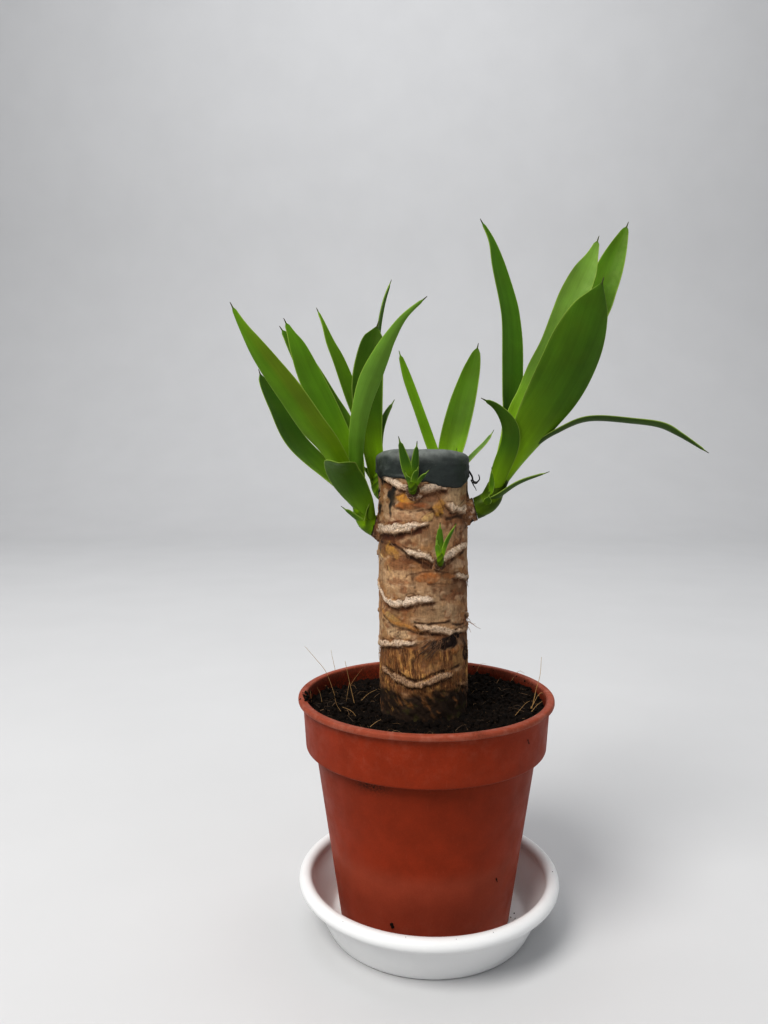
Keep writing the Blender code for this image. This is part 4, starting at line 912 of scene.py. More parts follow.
def saucer_material():
    """White plastic with a soft gloss, and a little dried water, dust and wear inside."""
    recipe = Recipe("saucer_white")
    place = recipe.place()
    inside = recipe.value("inside")
    stains = recipe.times(recipe.span(recipe.noise(place, 14, 5, 0.6), 0.50, 0.72), inside)
    scuffs = recipe.times(recipe.span(recipe.noise(recipe.place(1, 1, 3), 2.2, 6, 0.7), 0.60, 0.72), inside)
    recipe.coat(SAUCER_STAIN, stains, 0.18)
    recipe.coat(SAUCER_SCUFF, scuffs, 0.04)
    recipe.bump(recipe.noise(place, 0.9, 2), 0.004)
    recipe.bump(recipe.noise(place, 16, 1), 0.10)
    # A roughness under 0.28 counts as a mirror when noise is taken out, which left marks on the white
    rough = recipe.span(recipe.noise(place, 9, 4), 0.35, 0.65, 0.29, 0.42)
    return recipe.finish(recipe.plus(rough, recipe.times(stains, 0.2)))


def pot_material():
    """Terracotta-coloured plastic: satin, with flow marks, fine scratches, dust, soil on the lip, and
    painted shade under the collar.
    """
    recipe = Recipe("pot_terracotta")
    place = recipe.place()
    recipe.shade(recipe.span(recipe.noise(place, 11, 4, 0.6), 0.30, 0.70, 0.90, 1.10))
    recipe.shade(recipe.span(recipe.noise(place, 0.55, 4, 0.7), 0.36, 0.62, 0.93, 1.06))
    scratch = recipe.span(recipe.noise(recipe.place(1, 1, 0.05), 0.5, 2), 0.66, 0.74)
    recipe.coat(POT_SCRATCH, scratch, 0.10)
    dusty = recipe.times(recipe.span(recipe.noise(place, 5, 6, 0.65), 0.48, 0.75), recipe.value("worn"))
    recipe.coat(POT_DUST, dusty, 0.45)
    # This mask holds the soil on the pot and the painted shade under the collar.
    dirt = recipe.times(recipe.span(recipe.noise(place, 1.1, 5, 0.75), 0.62, 0.42), recipe.value("dirt"))
    recipe.coat(WET_SOIL_AND_SHADE, dirt)
    recipe.bump(recipe.noise(place, 0.28, 2), 0.014)
    recipe.bump(recipe.noise(recipe.place(1, 1, 0.35), 9, 2), 0.12)
    rough = recipe.span(recipe.noise(place, 7, 4), 0.35, 0.65, 0.40, 0.54)
    return recipe.finish(recipe.plus(rough, recipe.times(dirt, 0.4)),
                         Specular_IOR_Level=0.12, Specular_Tint=(1.0, 0.60, 0.45), Subsurface_Weight=0.06,
                         Subsurface_Radius=(0.003, 0.0008, 0.0004), Subsurface_Scale=0.4)


def soil_material():
    """Moist, dark peat: nearly black, with brown bits and fine fibres."""
    recipe = Recipe("peat", PEAT_BLACK)
    place = recipe.place()
    lumps = recipe.noise(place, 1.6, 6, 0.7)
    recipe.coat(PEAT_BROWN, recipe.span(lumps, 0.40, 0.70))
    bits = recipe.span(recipe.cells(recipe.place(1, 1, 0.6), 1.1), 0.14, 0.08)
    recipe.coat(PEAT_BIT, bits, recipe.span(recipe.noise(place, 4, 2), 0.54, 0.62))
    fibres = recipe.span(recipe.noise(recipe.place(3.0, 0.35, 1.0), 0.9, 3), 0.68, 0.73)
    recipe.coat(PEAT_FIBRE, fibres, 0.5)
    recipe.bump(lumps, 1.1)
    recipe.bump(recipe.noise(place, 0.35, 4, 0.7), 0.35)
    return recipe.finish(recipe.span(lumps, 0.4, 0.6, 0.80, 0.98), Specular_IOR_Level=0.14)


def bark_material():
    """Dry cane bark: woody streaks, granular pale leaf scars and coarse fibres near the soil."""
    recipe = Recipe("cane_bark")
    pale = recipe.value("pale")
    fibre = recipe.value("fibre")
    place = recipe.place()
    streaks = recipe.noise(recipe.place(1, 1, 0.10), 0.55, 5, 0.65)
    recipe.shade(recipe.span(streaks, 0.32, 0.68, 0.86, 1.14))
    mottle = recipe.noise(place, 1.7, 5, 0.7)
    recipe.shade(recipe.span(mottle, 0.30, 0.70, 0.72, 1.24))
    grains = recipe.noise(place, 0.85, 4, 0.75)
    # On the scars the hollows between the grains are darkened as painted shade, and their tops lightened as
    # painted glints, after the same noise as the bump.
    recipe.coat(SCAR_PIT_SHADE, recipe.times(recipe.span(grains, 0.50, 0.38), pale), 0.48)
    recipe.coat(SCAR_GLINT, recipe.times(recipe.span(grains, 0.56, 0.66), pale), 0.65)
    strands = recipe.noise(recipe.place(1, 1, 0.045), 0.34, 3, 0.6)
    recipe.coat(FIBRE_DARK, recipe.times(recipe.span(strands, 0.49, 0.37), fibre), 0.75)
    recipe.coat(FIBRE_LIGHT, recipe.times(recipe.span(strands, 0.56, 0.66), fibre), 0.75)
    recipe.coat(BARK_SPECK, recipe.span(recipe.noise(place, 0.7, 3, 0.8), 0.67, 0.71), 0.5)
    recipe.bump(streaks, 0.16)
    recipe.bump(mottle, 0.9)
    recipe.bump(recipe.times(strands, fibre), 0.6)
    recipe.bump(recipe.times(grains, pale), 0.48)
    recipe.bump(recipe.noise(place, 0.5, 4, 0.7), 0.14)
    return recipe.finish(recipe.span(mottle, 0.3, 0.7, 0.70, 0.92), Specular_IOR_Level=0.24)


def wax_material():
    """Hardened grafting wax: slate grey, matt on its side, with small pits; its tint gives a painted light
    on top.
    """
    recipe = Recipe("grafting_wax")
    place = recipe.place()
    cloudy = recipe.noise(place, 3.5, 5, 0.65)
    recipe.shade(recipe.span(cloudy, 0.32, 0.68, 0.72, 1.30))
    recipe.coat(WAX_SPECK, recipe.span(recipe.noise(place, 0.45, 2), 0.735, 0.765), 0.7)
    scuffs = recipe.span(recipe.noise(recipe.place(0.35, 0.35, 2.2), 1.2, 5, 0.75), 0.58, 0.72)
    recipe.coat(WAX_SCUFF, scuffs, 0.30)
    recipe.bump(recipe.noise(place, 0.30, 3, 0.6), 0.05)
    recipe.bump(recipe.noise(place, 2.4, 3), 0.35)
    recipe.bump(recipe.span(recipe.cells(place, 1.3), 0.10, 0.20), 0.12)
    return recipe.finish(recipe.span(cloudy, 0.35, 0.65, 0.46, 0.66), Specular_IOR_Level=0.35)


def leaf_material():
    """Firm, waxy leaf: parallel veins, cloudy greens and a soft gloss."""
    recipe = Recipe("yucca_leaf")
    along = recipe.node("ShaderNodeCombineXYZ")
    for axis, name, scale in (("X", "sideways", 1.0), ("Y", "run", 0.030), ("Z", "leaf_number", 7.3)):
        recipe.feed(along.inputs[axis], recipe.times(recipe.value(name), scale))
    veins = recipe.noise(along.outputs[0], 0.42, 3, 0.6)
    recipe.shade(recipe.span(veins, 0.34, 0.66, 0.95, 1.05))
    recipe.shade(recipe.span(recipe.noise(along.outputs[0], 3.6, 2), 0.32, 0.68, 0.90, 1.10))
    place = recipe.place()
    recipe.shade(recipe.span(recipe.noise(place, 24, 3), 0.36, 0.62, 1.10, 0.88))
    recipe.coat(LEAF_YELLOW, recipe.span(recipe.noise(place, 8, 3), 0.42, 0.66), 0.12)
    bloom = recipe.span(recipe.noise(place, 1.6, 4, 0.7), 0.55, 0.75)
    recipe.coat(LEAF_BLOOM, bloom, 0.06)
    recipe.coat(LEAF_SPECK, recipe.span(recipe.noise(place, 0.5, 2), 0.735, 0.765), 0.35)
    recipe.bump(veins, 0.055)
    recipe.bump(recipe.noise(place, 0.22, 2), 0.010)
    rough = recipe.span(recipe.noise(place, 3, 4), 0.35, 0.65, 0.38, 0.52)
    return recipe.finish(recipe.plus(rough, recipe.times(bloom, 0.08)),
                         Specular_IOR_Level=0.19, Specular_Tint=(0.80, 1.0, 0.45), Subsurface_Weight=0.16,
                         Subsurface_Radius=(0.0012, 0.0016, 0.0004), Subsurface_Scale=0.6)


def fibre_material():
    """Dry plant fibre: its colour is on the points, with fine streaks."""
    recipe = Recipe("dry_fibre")
    streaks = recipe.noise(recipe.place(), 0.6, 4, 0.7)
    recipe.shade(recipe.span(streaks, 0.3, 0.7, 0.72, 1.28))
    recipe.bump(streaks, 0.05)
    return recipe.finish(recipe.span(streaks, 0.3, 0.7, 0.55, 0.80))


def floor_material():
    recipe = Recipe("pale_floor", FLOOR_DARK)
    recipe.coat(FLOOR_LIGHT, recipe.span(recipe.noise(recipe.place(), 120, 3), 0.3, 0.7))
    return recipe.finish(0.7)


def rounded(corners, steps=6):
    """A line through corners of (radius, height, rounding), with each corner rounded that much."""
    line = []
    last = len(corners) - 1
    for i, (x, y, rounding) in enumerate(corners):
        corner = np.array((x, y))
        if not rounding or i in (0, last):
            line.append(corner)
            continue
        ends = []
        for other in (corners[i - 1], corners[i + 1]):
            away = np.array(other[:2]) - corner
            reach = min(rounding, 0.48 * np.hypot(*away))
            ends.append(corner + away / np.hypot(*away) * reach)
        for k in range(steps + 1):
            t = k / steps
            line.append((1 - t) ** 2 * ends[0] + 2 * t * (1 - t) * corner + t * t * ends[1])
    return line


def split_long(line, longest):
    """Adds points to a line, so that none of its steps is longer than given."""
    fine = [line[0]]
    for a, b in zip(line, line[1:]):
        steps = max(1, math.ceil(np.hypot(*(np.asarray(b) - a)) / longest))
        fine += [np.asarray(a) + (np.asarray(b) - a) * k / steps for k in range(1, steps + 1)]
    return fine


def arc(centre, radius, start, end, steps):
    """Points on an arc, from one angle to another in degrees."""
    angles = [math.radians(start + (end - start) * i / steps) for i in range(steps + 1)]
    return [(centre[0] + radius * math.cos(a), centre[1] + radius * math.sin(a)) for a in angles]


def turned_grid(line, sides, centre=(0.0, 0.0)):
    """Rows of points from a line of (radius, height), with the azimuth of each point."""
    azimuth = np.arange(sides) * 360 / sides
    radius = np.array([p[0] for p in line])[:, None, None]
    height = np.array([p[1] for p in line])[:, None]
    grid = np.array([centre[0], centre[1], 0.0]) + radius * outward(azimuth)[None]
    grid[..., 2] += height
    return grid, np.broadcast_to(azimuth, grid.shape[:2])


def merge_axis(obj):
    """Joins the points that meet on the axis."""
    nothing = 0.00001 * MM
    sheet = bmesh.new()
    sheet.from_mesh(obj.data)
    bmesh.ops.remove_doubles(sheet, verts=sheet.verts, dist=nothing)
    bmesh.ops.dissolve_degenerate(sheet, edges=sheet.edges, dist=nothing)
    bmesh.ops.recalc_face_normals(sheet, faces=sheet.faces)
    sheet.to_mesh(obj.data)
    sheet.free()


def make_saucer():
    base_r, base_z = SAUCER_WALL_BASE
    top_r, top_z = SAUCER_WALL_TOP
    outer = [(0, 0, 0), (SAUCER_FOOT_RADIUS, 0, 1.4), (base_r, base_z, 1.6), (top_r, top_z, 0)]
    inner = [(top_r - 2 * SAUCER_WALL, top_z - SAUCER_ROLL_RADIUS, 0),
             (base_r - SAUCER_WALL, base_z + 0.6, 5.0),
             (base_r - 2.6 * SAUCER_WALL, SAUCER_FLOOR, 3.0), (0, SAUCER_FLOOR, 0)]
    roll = arc(SAUCER_ROLL_CENTRE, SAUCER_ROLL_RADIUS, -60, 200, 36)
    line = split_long(rounded(outer) + roll + rounded(inner, 8), 2.5)
    grid, azimuth = turned_grid(line, SAUCER_SIDES)
    radius = np.hypot(grid[..., 0], grid[..., 1])
    height = grid[..., 2]
    upward = np.arange(len(line))[:, None] > np.argmax([p[1] for p in line])
    inside = smooth((16 - height) / 14) * upward
    # Painted light: the inside of the dish is given a whiter colour than the outside, lifting its shade.
    tint = tinted(filled(radius, SAUCER_WHITE), SAUCER_INSIDE_PAINTED_LIGHT, smooth((24 - height) / 5) * upward)
    tint = tinted(tint, SAUCER_DUST, 0.3 * inside * smooth(layers(azimuth, radius, 9, 9, 41) + 0.2))
    shape = Shape("inside")
    shape.add_grid(grid, (), tint=tint, inside=inside)
    obj = finish_mesh("saucer_dish", shape, saucer_material(), 30)
    merge_axis(obj)
    place_piece(obj, "saucer_plastic", "saucer")


def body_radius(height):
    """Outer radius of the pot's tapering body at a height."""
    return POT_BASE_RADIUS + POT_TAPER * (height - POT_BASE)


def pot_inner_radius(height):
    """Inner radius of the pot at a height, for its body and its collar."""
    if height < COLLAR_BOTTOM + POT_WALL:
        return body_radius(height) - POT_WALL
    part = (height - COLLAR_BOTTOM) / (LIP_BOTTOM - COLLAR_BOTTOM)
    return COLLAR_BOTTOM_RADIUS + (COLLAR_TOP_RADIUS - COLLAR_BOTTOM_RADIUS) * part - POT_WALL


def pot_profile(foot, floor):
    """The pot's outline from its axis, under its floor and up its outside, to the axis over its floor."""
    foot_inner = POT_BASE_RADIUS - POT_FOOT_WIDTH
    step = COLLAR_BOTTOM + POT_WALL
    return rounded([
        (0, foot, 0), (foot_inner, foot, 0.8), (foot_inner + 0.6, POT_BASE, 0.5),
        (POT_BASE_RADIUS, POT_BASE, 0.8), (body_radius(COLLAR_BOTTOM), COLLAR_BOTTOM, 0.5),
        (COLLAR_BOTTOM_RADIUS, COLLAR_BOTTOM, 1.1), (COLLAR_TOP_RADIUS, LIP_BOTTOM, 0.35),
        (LIP_RADIUS, LIP_BOTTOM, 0.9), (LIP_RADIUS, LIP_TOP, 1.3),
        (COLLAR_TOP_RADIUS - POT_WALL, LIP_TOP, 1.0), (pot_inner_radius(step), step, 1.0),
        (body_radius(step) - POT_WALL, step - 1, 1.0), (pot_inner_radius(floor), floor, 2.0), (0, floor, 0)])


def make_pot():
    foot = POT_BASE + POT_FOOT_HEIGHT
    line = split_long(pot_profile(foot, foot + POT_FLOOR), 2.6)
    grid, azimuth = turned_grid(line, POT_SIDES, POT_CENTRE)
    azimuth = turn_between(azimuth, 0)
    height = grid[..., 2]
    radius = np.hypot(grid[..., 0] - POT_CENTRE[0], grid[..., 1] - POT_CENTRE[1])
    outside = radius > np.array([[pot_inner_radius(p[1]) + 0.5 * POT_WALL] for p in line])
    lip = smooth((height - LIP_BOTTOM + 0.6) / 0.8)
    worn = 0.50 * lip + 0.16 * smooth((height - 80) / 20) * outside + 0.18 * smooth((30 - height) / 18)
    # Painted shade and bounce light: the body under the collar is made a tenth darker than the collar, and
    # lighter again towards the bottom.
    darker = 1 - 0.10 * smooth((88 - height) / 3) + 0.30 * smooth((75 - height) / 60)
    # Painted reflection of the white saucer and its bounce light: the lower body is lightened towards a
    # paler red.
    low = smooth((47 - height) / 9) * (0.75 + 0.25 * smooth((20 - height) / 16))
    tint = tinted(filled(height, POT_COLOUR) * darker[..., None], POT_SAUCER_REFLECTION, 0.48 * low * outside)
    tint = tinted(tint, POT_LIP_COLOUR, 0.42 * lip)
    under_collar = COLLAR_BOTTOM - height
    smear = bell(turn_between(azimuth, SMEAR_AZIMUTH), 9) * smooth((under_collar + 0.5) / 0.8)
    smear *= smooth((7 - under_collar) / 4)
    # Painted shade: a dark band just under the collar's step, where the collar shades the body.
    painted_collar_shade = 0.5 * smooth((2.5 - under_collar) / 2) * (under_collar > -0.2) * outside
    inner_dirt = (1 - outside) * smooth((height - 90) / 6) * (0.45 + 0.5 * smooth((108.5 - height) / 5))
    lip_dirt = 0.35 * lip * smooth(grain(azimuth, height, 40, 2.0, 5) * 2 - 0.6)
    dirt = np.maximum.reduce([smear, painted_collar_shade * 0.6, inner_dirt * 0.8, lip_dirt])
    shape = Shape("worn", "dirt")
    shape.add_grid(grid, (), tint=tint, worn=worn, dirt=dirt)
    obj = finish_mesh("nursery_pot", shape, pot_material(), 35)
    merge_axis(obj)
    cut_drain_holes(obj, foot + POT_FLOOR / 2)
    place_piece(obj, "pot_plastic", "pot")


def cut_drain_holes(obj, height):
    """Cuts the holes through the floor, whose middle is at a height."""
    holes = bmesh.new()
    for i in range(DRAIN_HOLES):
        turn = 2 * math.pi * (i + 0.5) / DRAIN_HOLES
        place = Vector(POT_CENTRE) + DRAIN_RING_RADIUS * Vector((math.cos(turn), math.sin(turn), 0))
        place.z = height
        bmesh.ops.create_cone(holes, cap_ends=True, segments=48, depth=3 * POT_FLOOR * MM,
                              radius1=DRAIN_HOLE_RADIUS * MM, radius2=DRAIN_HOLE_RADIUS * MM,
                              matrix=Matrix.Translation(place * MM))
    mesh = bpy.data.meshes.new("drain_cutter")
    holes.to_mesh(mesh)
    holes.free()
    cutter = link("drain_cutter", mesh)
    cut = obj.modifiers.new("holes", "BOOLEAN")
    cut.operation = "DIFFERENCE"
    cut.object = cutter
    cut.solver = "EXACT"
    bpy.context.view_layer.update()
    finished = bpy.data.meshes.new_from_object(obj.evaluated_get(bpy.context.evaluated_depsgraph_get()))
    obj.modifiers.clear()
    obj.data = finished
    bpy.data.objects.remove(cutter)


def soil_height(x, y):
    """Height of the uneven soil: low behind on the left, higher to the right and at the left edge."""
    x, y = x - POT_CENTRE[0], y - POT_CENTRE[1]
    tilt = 3.2 * max(0.0, (x + 0.5 * y) / 55) + 2.5 * max(0.0, (-x - 0.3 * y - 35) / 20)
    bumps = noise.noise(Vector((x * 0.11, y * 0.11, 7.0)))
    bumps += 0.6 * noise.noise(Vector((x * 0.3, y * 0.3, 2.0)))
    return SOIL_LEVEL + tilt + SOIL_BUMPS * bumps


def rough_soil_height(x, y):
    """The soil's height with its clods."""
    place = Vector((x * 0.45, y * 0.45, 11.0))
    clods = 0.9 * noise.noise(place) + 0.5 * noise.noise(2.3 * place) + 0.25 * noise.noise(5.1 * place)
    return soil_height(x, y) + 1.7 * clods


def make_soil():
    azimuth = np.arange(SOIL_COLUMNS) * 360 / SOIL_COLUMNS
    edge = pot_inner_radius(SOIL_LEVEL) - CLEARANCE
    hub = np.array((*CANE_AXIS_AT_100, 0.0))
    hole = CANE_RADIUS - 0.4
    rows = []
    for i in range(SOIL_RINGS + 1):
        part = i / SOIL_RINGS
        centre = hub * (1 - part) + POT_CENTRE * part
        row = centre + (hole + (edge - hole) * part) * outward(azimuth)
        row[:, 2] = [rough_soil_height(x, y) for x, y in row[:, :2]]
        row[:, 2] += 1.2 * smooth(1 - part * SOIL_RINGS / 9) - 0.5 * smooth((part - 0.96) / 0.04)
        rows.append(row)
    for height in (95, COLLAR_BOTTOM + 3, COLLAR_BOTTOM - 1, 45, SOIL_BOTTOM + 1.5, SOIL_BOTTOM):
        radius = pot_inner_radius(height) - 2 * CLEARANCE - 1.5 * (height == SOIL_BOTTOM)
        row = POT_CENTRE + radius * outward(azimuth)
        row[:, 2] = height
        rows.append(row)
    first = rows[0].copy()
    first[:, 2] = CANE_BOTTOM - 1
    shape = Shape()
    shape.add_grid(np.array([first] + rows))
    obj = finish_mesh("potting_soil", shape, soil_material(), 80)
    place_piece(obj, "soil", "soil")
    return obj.data.materials[0]


def lump_corners():
    """The 12 corners of an even lump, whose nearest ones are 2 apart."""
    golden = (1 + 5 ** 0.5) / 2
    corners = [(0, a, b * golden) for a in (-1, 1) for b in (-1, 1)]
    return np.array(corners + [(y, z, x) for x, y, z in corners] + [(z, x, y) for x, y, z in corners])


def lump_faces(corners):
    """The 20 triangles between the nearest corners."""
    near = np.linalg.norm(corners[:, None] - corners[None], axis=-1) < 2.1
    return [(i, j, k) for i in range(12) for j in range(i + 1, 12) for k in range(j + 1, 12)
            if near[i, j] and near[j, k] and near[i, k]]


LUMP_CORNERS = lump_corners()
LUMP_FACES = lump_faces(LUMP_CORNERS)


def lump(shape, centre, size, draw):
    """An uneven crumb of 20 faces."""
    corners = LUMP_CORNERS / np.linalg.norm(LUMP_CORNERS[0])
    flat = draw.uniform(0.5, 1.0, 3) * size
    bumpy = corners * flat * draw.uniform(0.75, 1.2, (12, 1))
    turn = Matrix.Rotation(draw.uniform(0, 6.28), 3, Vector(draw.normal(size=3)))
    shape.add(bumpy @ np.array(turn) + centre, LUMP_FACES)


def make_crumbs(material):
    """Loose peat on the soil, and the few crumbs on the rim, the pot and the saucer."""
    draw = np.random.default_rng(12)
    shape = Shape()
    edge = pot_inner_radius(SOIL_LEVEL) - 1.0
    for _ in range(CRUMBS):
        azimuth = draw.uniform(0, 360)
        spread = math.sqrt(draw.uniform((CANE_RADIUS / edge) ** 2, 1))
        place = POT_CENTRE + edge * spread * outward(azimuth)
        if math.hypot(place[0] - CANE_AXIS_AT_100[0], place[1]) < CANE_RADIUS + 0.3:
            continue
        size = 0.35 + 1.35 * draw.random() ** 3
        place[2] = rough_soil_height(place[0], place[1]) + 0.25 * size
        lump(shape, place, size, draw)
    for azimuth, spread in RIM_HEAPS:
        for _ in range(26):
            distance = 56.4 + draw.normal(0, 0.9)
            place = POT_CENTRE + distance * outward(azimuth + draw.normal(0, spread))
            place[2] = 106.0 + draw.uniform(0, 4.6)
            lump(shape, place, draw.uniform(0.4, 1.0), draw)
    for azimuth in draw.uniform(25, 150, 40):
        place = POT_CENTRE + (56.6 + draw.normal(0, 0.5)) * outward(azimuth)
        place[2] = 107.5 + draw.uniform(0, 1.6)
        lump(shape, place, draw.uniform(0.3, 0.7), draw)
    for azimuth, distance, height, size in SAUCER_CRUMBS:
        place = distance * outward(azimuth) + (0, 0, height)
        for _ in range(3 if size > 0.6 else 1):
            lump(shape, place + draw.normal(0, 0.25, 3) * size, size, draw)
    for azimuth, height, size in POT_CRUMBS:
        radius = COLLAR_TOP_RADIUS if height > COLLAR_BOTTOM else body_radius(height)
        place = POT_CENTRE + radius * outward(azimuth) + (0, 0, height)
        for step in range(4):
            lump(shape, place + (0.15 * step, 0, -0.5 * step), size, draw)
    obj = finish_mesh("soil_crumbs", shape, material, 60)
    place_piece(obj, "soil")


def strand(shape, points, radius, sides=5, taper=0.35, **looks):
    """A thin fibre through points, from its full radius at the root to a tapered tip."""
    line = smooth_line([(*p, 0.0) for p in points], max(4, 3 * len(points)))[:, :3]
    rows = []
    turns = np.arange(sides) * 2 * math.pi / sides
    for i, point in enumerate(line):
        along = line[min(i + 1, len(line) - 1)] - line[max(i - 1, 0)]
        along = along / np.linalg.norm(along)
        side = np.cross(along, (0.31, 0.9, 0.3))
        side = side / np.linalg.norm(side)
        other = np.cross(along, side)
        here = radius * (1 - (1 - taper) * i / (len(line) - 1))
        rows.append(point + here * (np.cos(turns)[:, None] * side + np.sin(turns)[:, None] * other))
    shape.add_grid(np.array(rows), **looks)


def make_straw(material):
    draw = np.random.default_rng(31)
    shape = Shape()
    for points, thickness in STRAWS:
        strand(shape, points, thickness / 2, tint=STRAW_TAN)
    edge = pot_inner_radius(SOIL_LEVEL) - 3
    for _ in range(280):
        place = POT_CENTRE + edge * math.sqrt(draw.uniform(0.2, 1)) * outward(draw.uniform(0, 360))
        if math.hypot(place[0] - CANE_AXIS_AT_100[0], place[1]) < CANE_RADIUS + 2.5:
            continue
        way = outward(draw.uniform(0, 360)) + (0, 0, draw.uniform(-0.05, 0.35))
        length = draw.uniform(2, 8)
        place[2] = rough_soil_height(place[0], place[1]) + 0.1
        bent = draw.normal(0, 0.10, 3) * length
        points = [place - way * length / 2, place + bent + (0, 0, 0.4), place + way * length / 2]
        colour = np.array(ROOT_HAIR) * draw.uniform(0.12, 1.0) ** 1.5
        strand(shape, points, draw.uniform(0.07, 0.17), 4, tint=colour)
    obj = finish_mesh("straw", shape, material, 80)
    place_piece(obj, "bark")


def smooth_line(points, steps):
    """Evenly spaced points, with their half widths, on a smooth curve through the given ones."""
    points = np.array(points, float)
    chain = np.concatenate([[2 * points[0] - points[1]], points, [2 * points[-1] - points[-2]]])
    t = np.arange(24)[:, None] / 24
    fine = []
    for a, b, c, d in zip(chain, chain[1:], chain[2:], chain[3:]):
        fine.append(0.5 * (2 * b + (c - a) * t + (2 * a - 5 * b + 4 * c - d) * t ** 2
                           + (3 * b - a - 3 * c + d) * t ** 3))
    fine = np.concatenate(fine + [points[-1:]])
    lengths = np.concatenate([[0], np.cumsum(np.linalg.norm(np.diff(fine[:, :3], axis=0), axis=1))])
    goals = np.linspace(0, lengths[-1], steps + 1)
    return np.stack([np.interp(goals, lengths, fine[:, k]) for k in range(fine.shape[1])], axis=1)


def section(bend, crease, columns):
    """Across a blade of half width 1: places from -1 to 1, offsets sideways and inward, and slopes."""
    across = np.sin(np.linspace(-math.pi / 2, math.pi / 2, columns + 1))
    power = 1 - 0.75 * crease
    slope = bend * (1 + power) / 2 * np.sign(across) * np.abs(across) ** power
    middle = (slope[1:] + slope[:-1]) / 2
    step = np.diff(across)
    sideways = np.concatenate([[0], np.cumsum(np.cos(middle) * step)])
    inward = np.concatenate([[0], np.cumsum(np.sin(middle) * step)])
    centre = columns // 2
    return across, sideways - sideways[centre], inward - inward[centre], slope


def leaf_tint(across, part, half, left, looks):
    """Green that is paler at the root and the rims and brown at the awn, for one row of a blade."""
    tone, warmth, _, flush, greyness, rooted = looks if len(looks) == 6 else looks + USUAL_LOOKS
    base = tone * (np.array(LEAF_COOL) * (1 - warmth) + np.array(LEAF_WARM) * warmth)
    tint = np.ones((len(across), 3)) * base
    # Grey above the root: partly the leaf's bloom, partly painted sheen.
    tint = tinted(tint, LEAF_GREY, greyness * smooth(part / 0.5))
    flushed = 0.55 * abs(flush) * smooth((across * np.sign(flush) + 0.15) / 0.5)
    tint = tinted(tint, LEAF_FLUSH, flushed * smooth(part / 0.25) * smooth((1 - part) / 0.3))
    # A negative share paints shade over the root, a dark green, instead of the pale root colour.
    base = min(1, tone + 0.15) * np.array(LEAF_BASE) if rooted > 0 else 0.3 * tone * np.array(LEAF_COOL)
    tint = tinted(tint, base, abs(rooted) * smooth((0.52 - part) / 0.46))
    rim = (1 - np.abs(across)) * half
    tint = tinted(tint, LEAF_RIM, 0.75 * smooth((0.32 - rim) / 0.2) * smooth((left - 3) / 3))
    return tinted(tint, AWN_BROWN, smooth((AWN_LENGTH + 1.2 - left) / 2.0))


def add_blade(shape, line, reach, curl, face, looks, number):
    """A leaf as a thin closed solid: its width bends round the stem at the root and lies open above."""
    widest = max(row[3] for row in line)
    blunt = line[-1][3] > 2
    columns = BLADE_COLUMNS if widest > 2.7 else BLADE_COLUMNS // 2
    length = sum(np.linalg.norm(np.subtract(b, a)[:3]) for a, b in zip(line, line[1:]))
    steps = max(24, round(length / BLADE_ROW))
    places = smooth_line(line, steps)
    spine = places[:, :3]
    rows, tints, runs, sides = [], [], [], []
    for i, point in enumerate(spine):
        part = i / steps
        left = (1 - part) * length
        along = spine[min(i + 1, steps)] - spine[max(i - 1, 0)]
        along /= np.linalg.norm(along)
        inward = np.array(face, float)
        inward -= inward.dot(along) * along
        inward /= np.linalg.norm(inward)
        side = np.cross(along, inward)
        if blunt:
            half = max(AWN_HALF, min(places[i, 3], math.sqrt(14 * left)))
        else:
            pointed = AWN_HALF + 0.08 * left + 0.75 * max(0, left - AWN_LENGTH)
            half = max(AWN_HALF, min(places[i, 3], pointed))
        bend = math.radians(curl + (reach - curl) * max(0.0, 1 - part / 0.35) ** 1.5)
        open_crease = looks[2] * smooth(part / 0.3) * smooth(left / 8)
        across, sideways, rise, slope = section(bend, open_crease, columns)
        ripple = 0.03 * np.sin(RIPPLE_SHIFT * number + part * length / 7) * across ** 2 * smooth(part / 0.4)
        thick = BLADE_THICKNESS + (BLADE_ROOT_THICKNESS - BLADE_THICKNESS) * max(0.0, 1 - part / 0.4)
        thick = min(thick, 1.5 * half) * (0.28 + 0.72 * np.sqrt(1 - across ** 2))
        middle = point + half * (sideways[:, None] * side + (rise + ripple)[:, None] * inward)
        normal = np.cos(slope)[:, None] * inward - np.sin(slope)[:, None] * side
        upper = middle + normal * thick[:, None] / 2
        lower = middle - normal * thick[:, None] / 2
        rows.append(np.concatenate([upper, lower[::-1]]))
        tint = leaf_tint(across, part, half, left * max(1, 7 / widest) + 9 * blunt, looks)
        tints.append(np.concatenate([tint, tint[::-1]]))
        both = np.concatenate([across, across[::-1]])
        sides.append(both * half)
        runs.append(np.full(len(both), part * length))
    shape.add_grid(np.array(rows), tint=np.array(tints), run=np.array(runs),
                   sideways=np.array(sides), leaf_number=number)


def add_tube(shape, spine, radii, sides, first_way, **looks):
    """A closed tube along points, with a radius at each. Its first end is square to a given way."""
    turns = np.arange(sides) * 2 * math.pi / sides
    rows = []
    for i, (point, radius) in enumerate(zip(spine, radii)):
        along = spine[min(i + 1, len(spine) - 1)] - spine[max(i - 1, 0)]
        if i == 0:
            along = np.array(first_way)
        along = along / np.linalg.norm(along)
        side = np.cross(along, (0.0, 1.0, 0.001))
        side /= np.linalg.norm(side)
        other = np.cross(along, side)
        radius = np.asarray(radius)[..., None] if np.ndim(radius) else radius
        rows.append(point + radius * (np.cos(turns)[:, None] * side + np.sin(turns)[:, None] * other))
    shape.add_grid(np.array(rows), **looks)


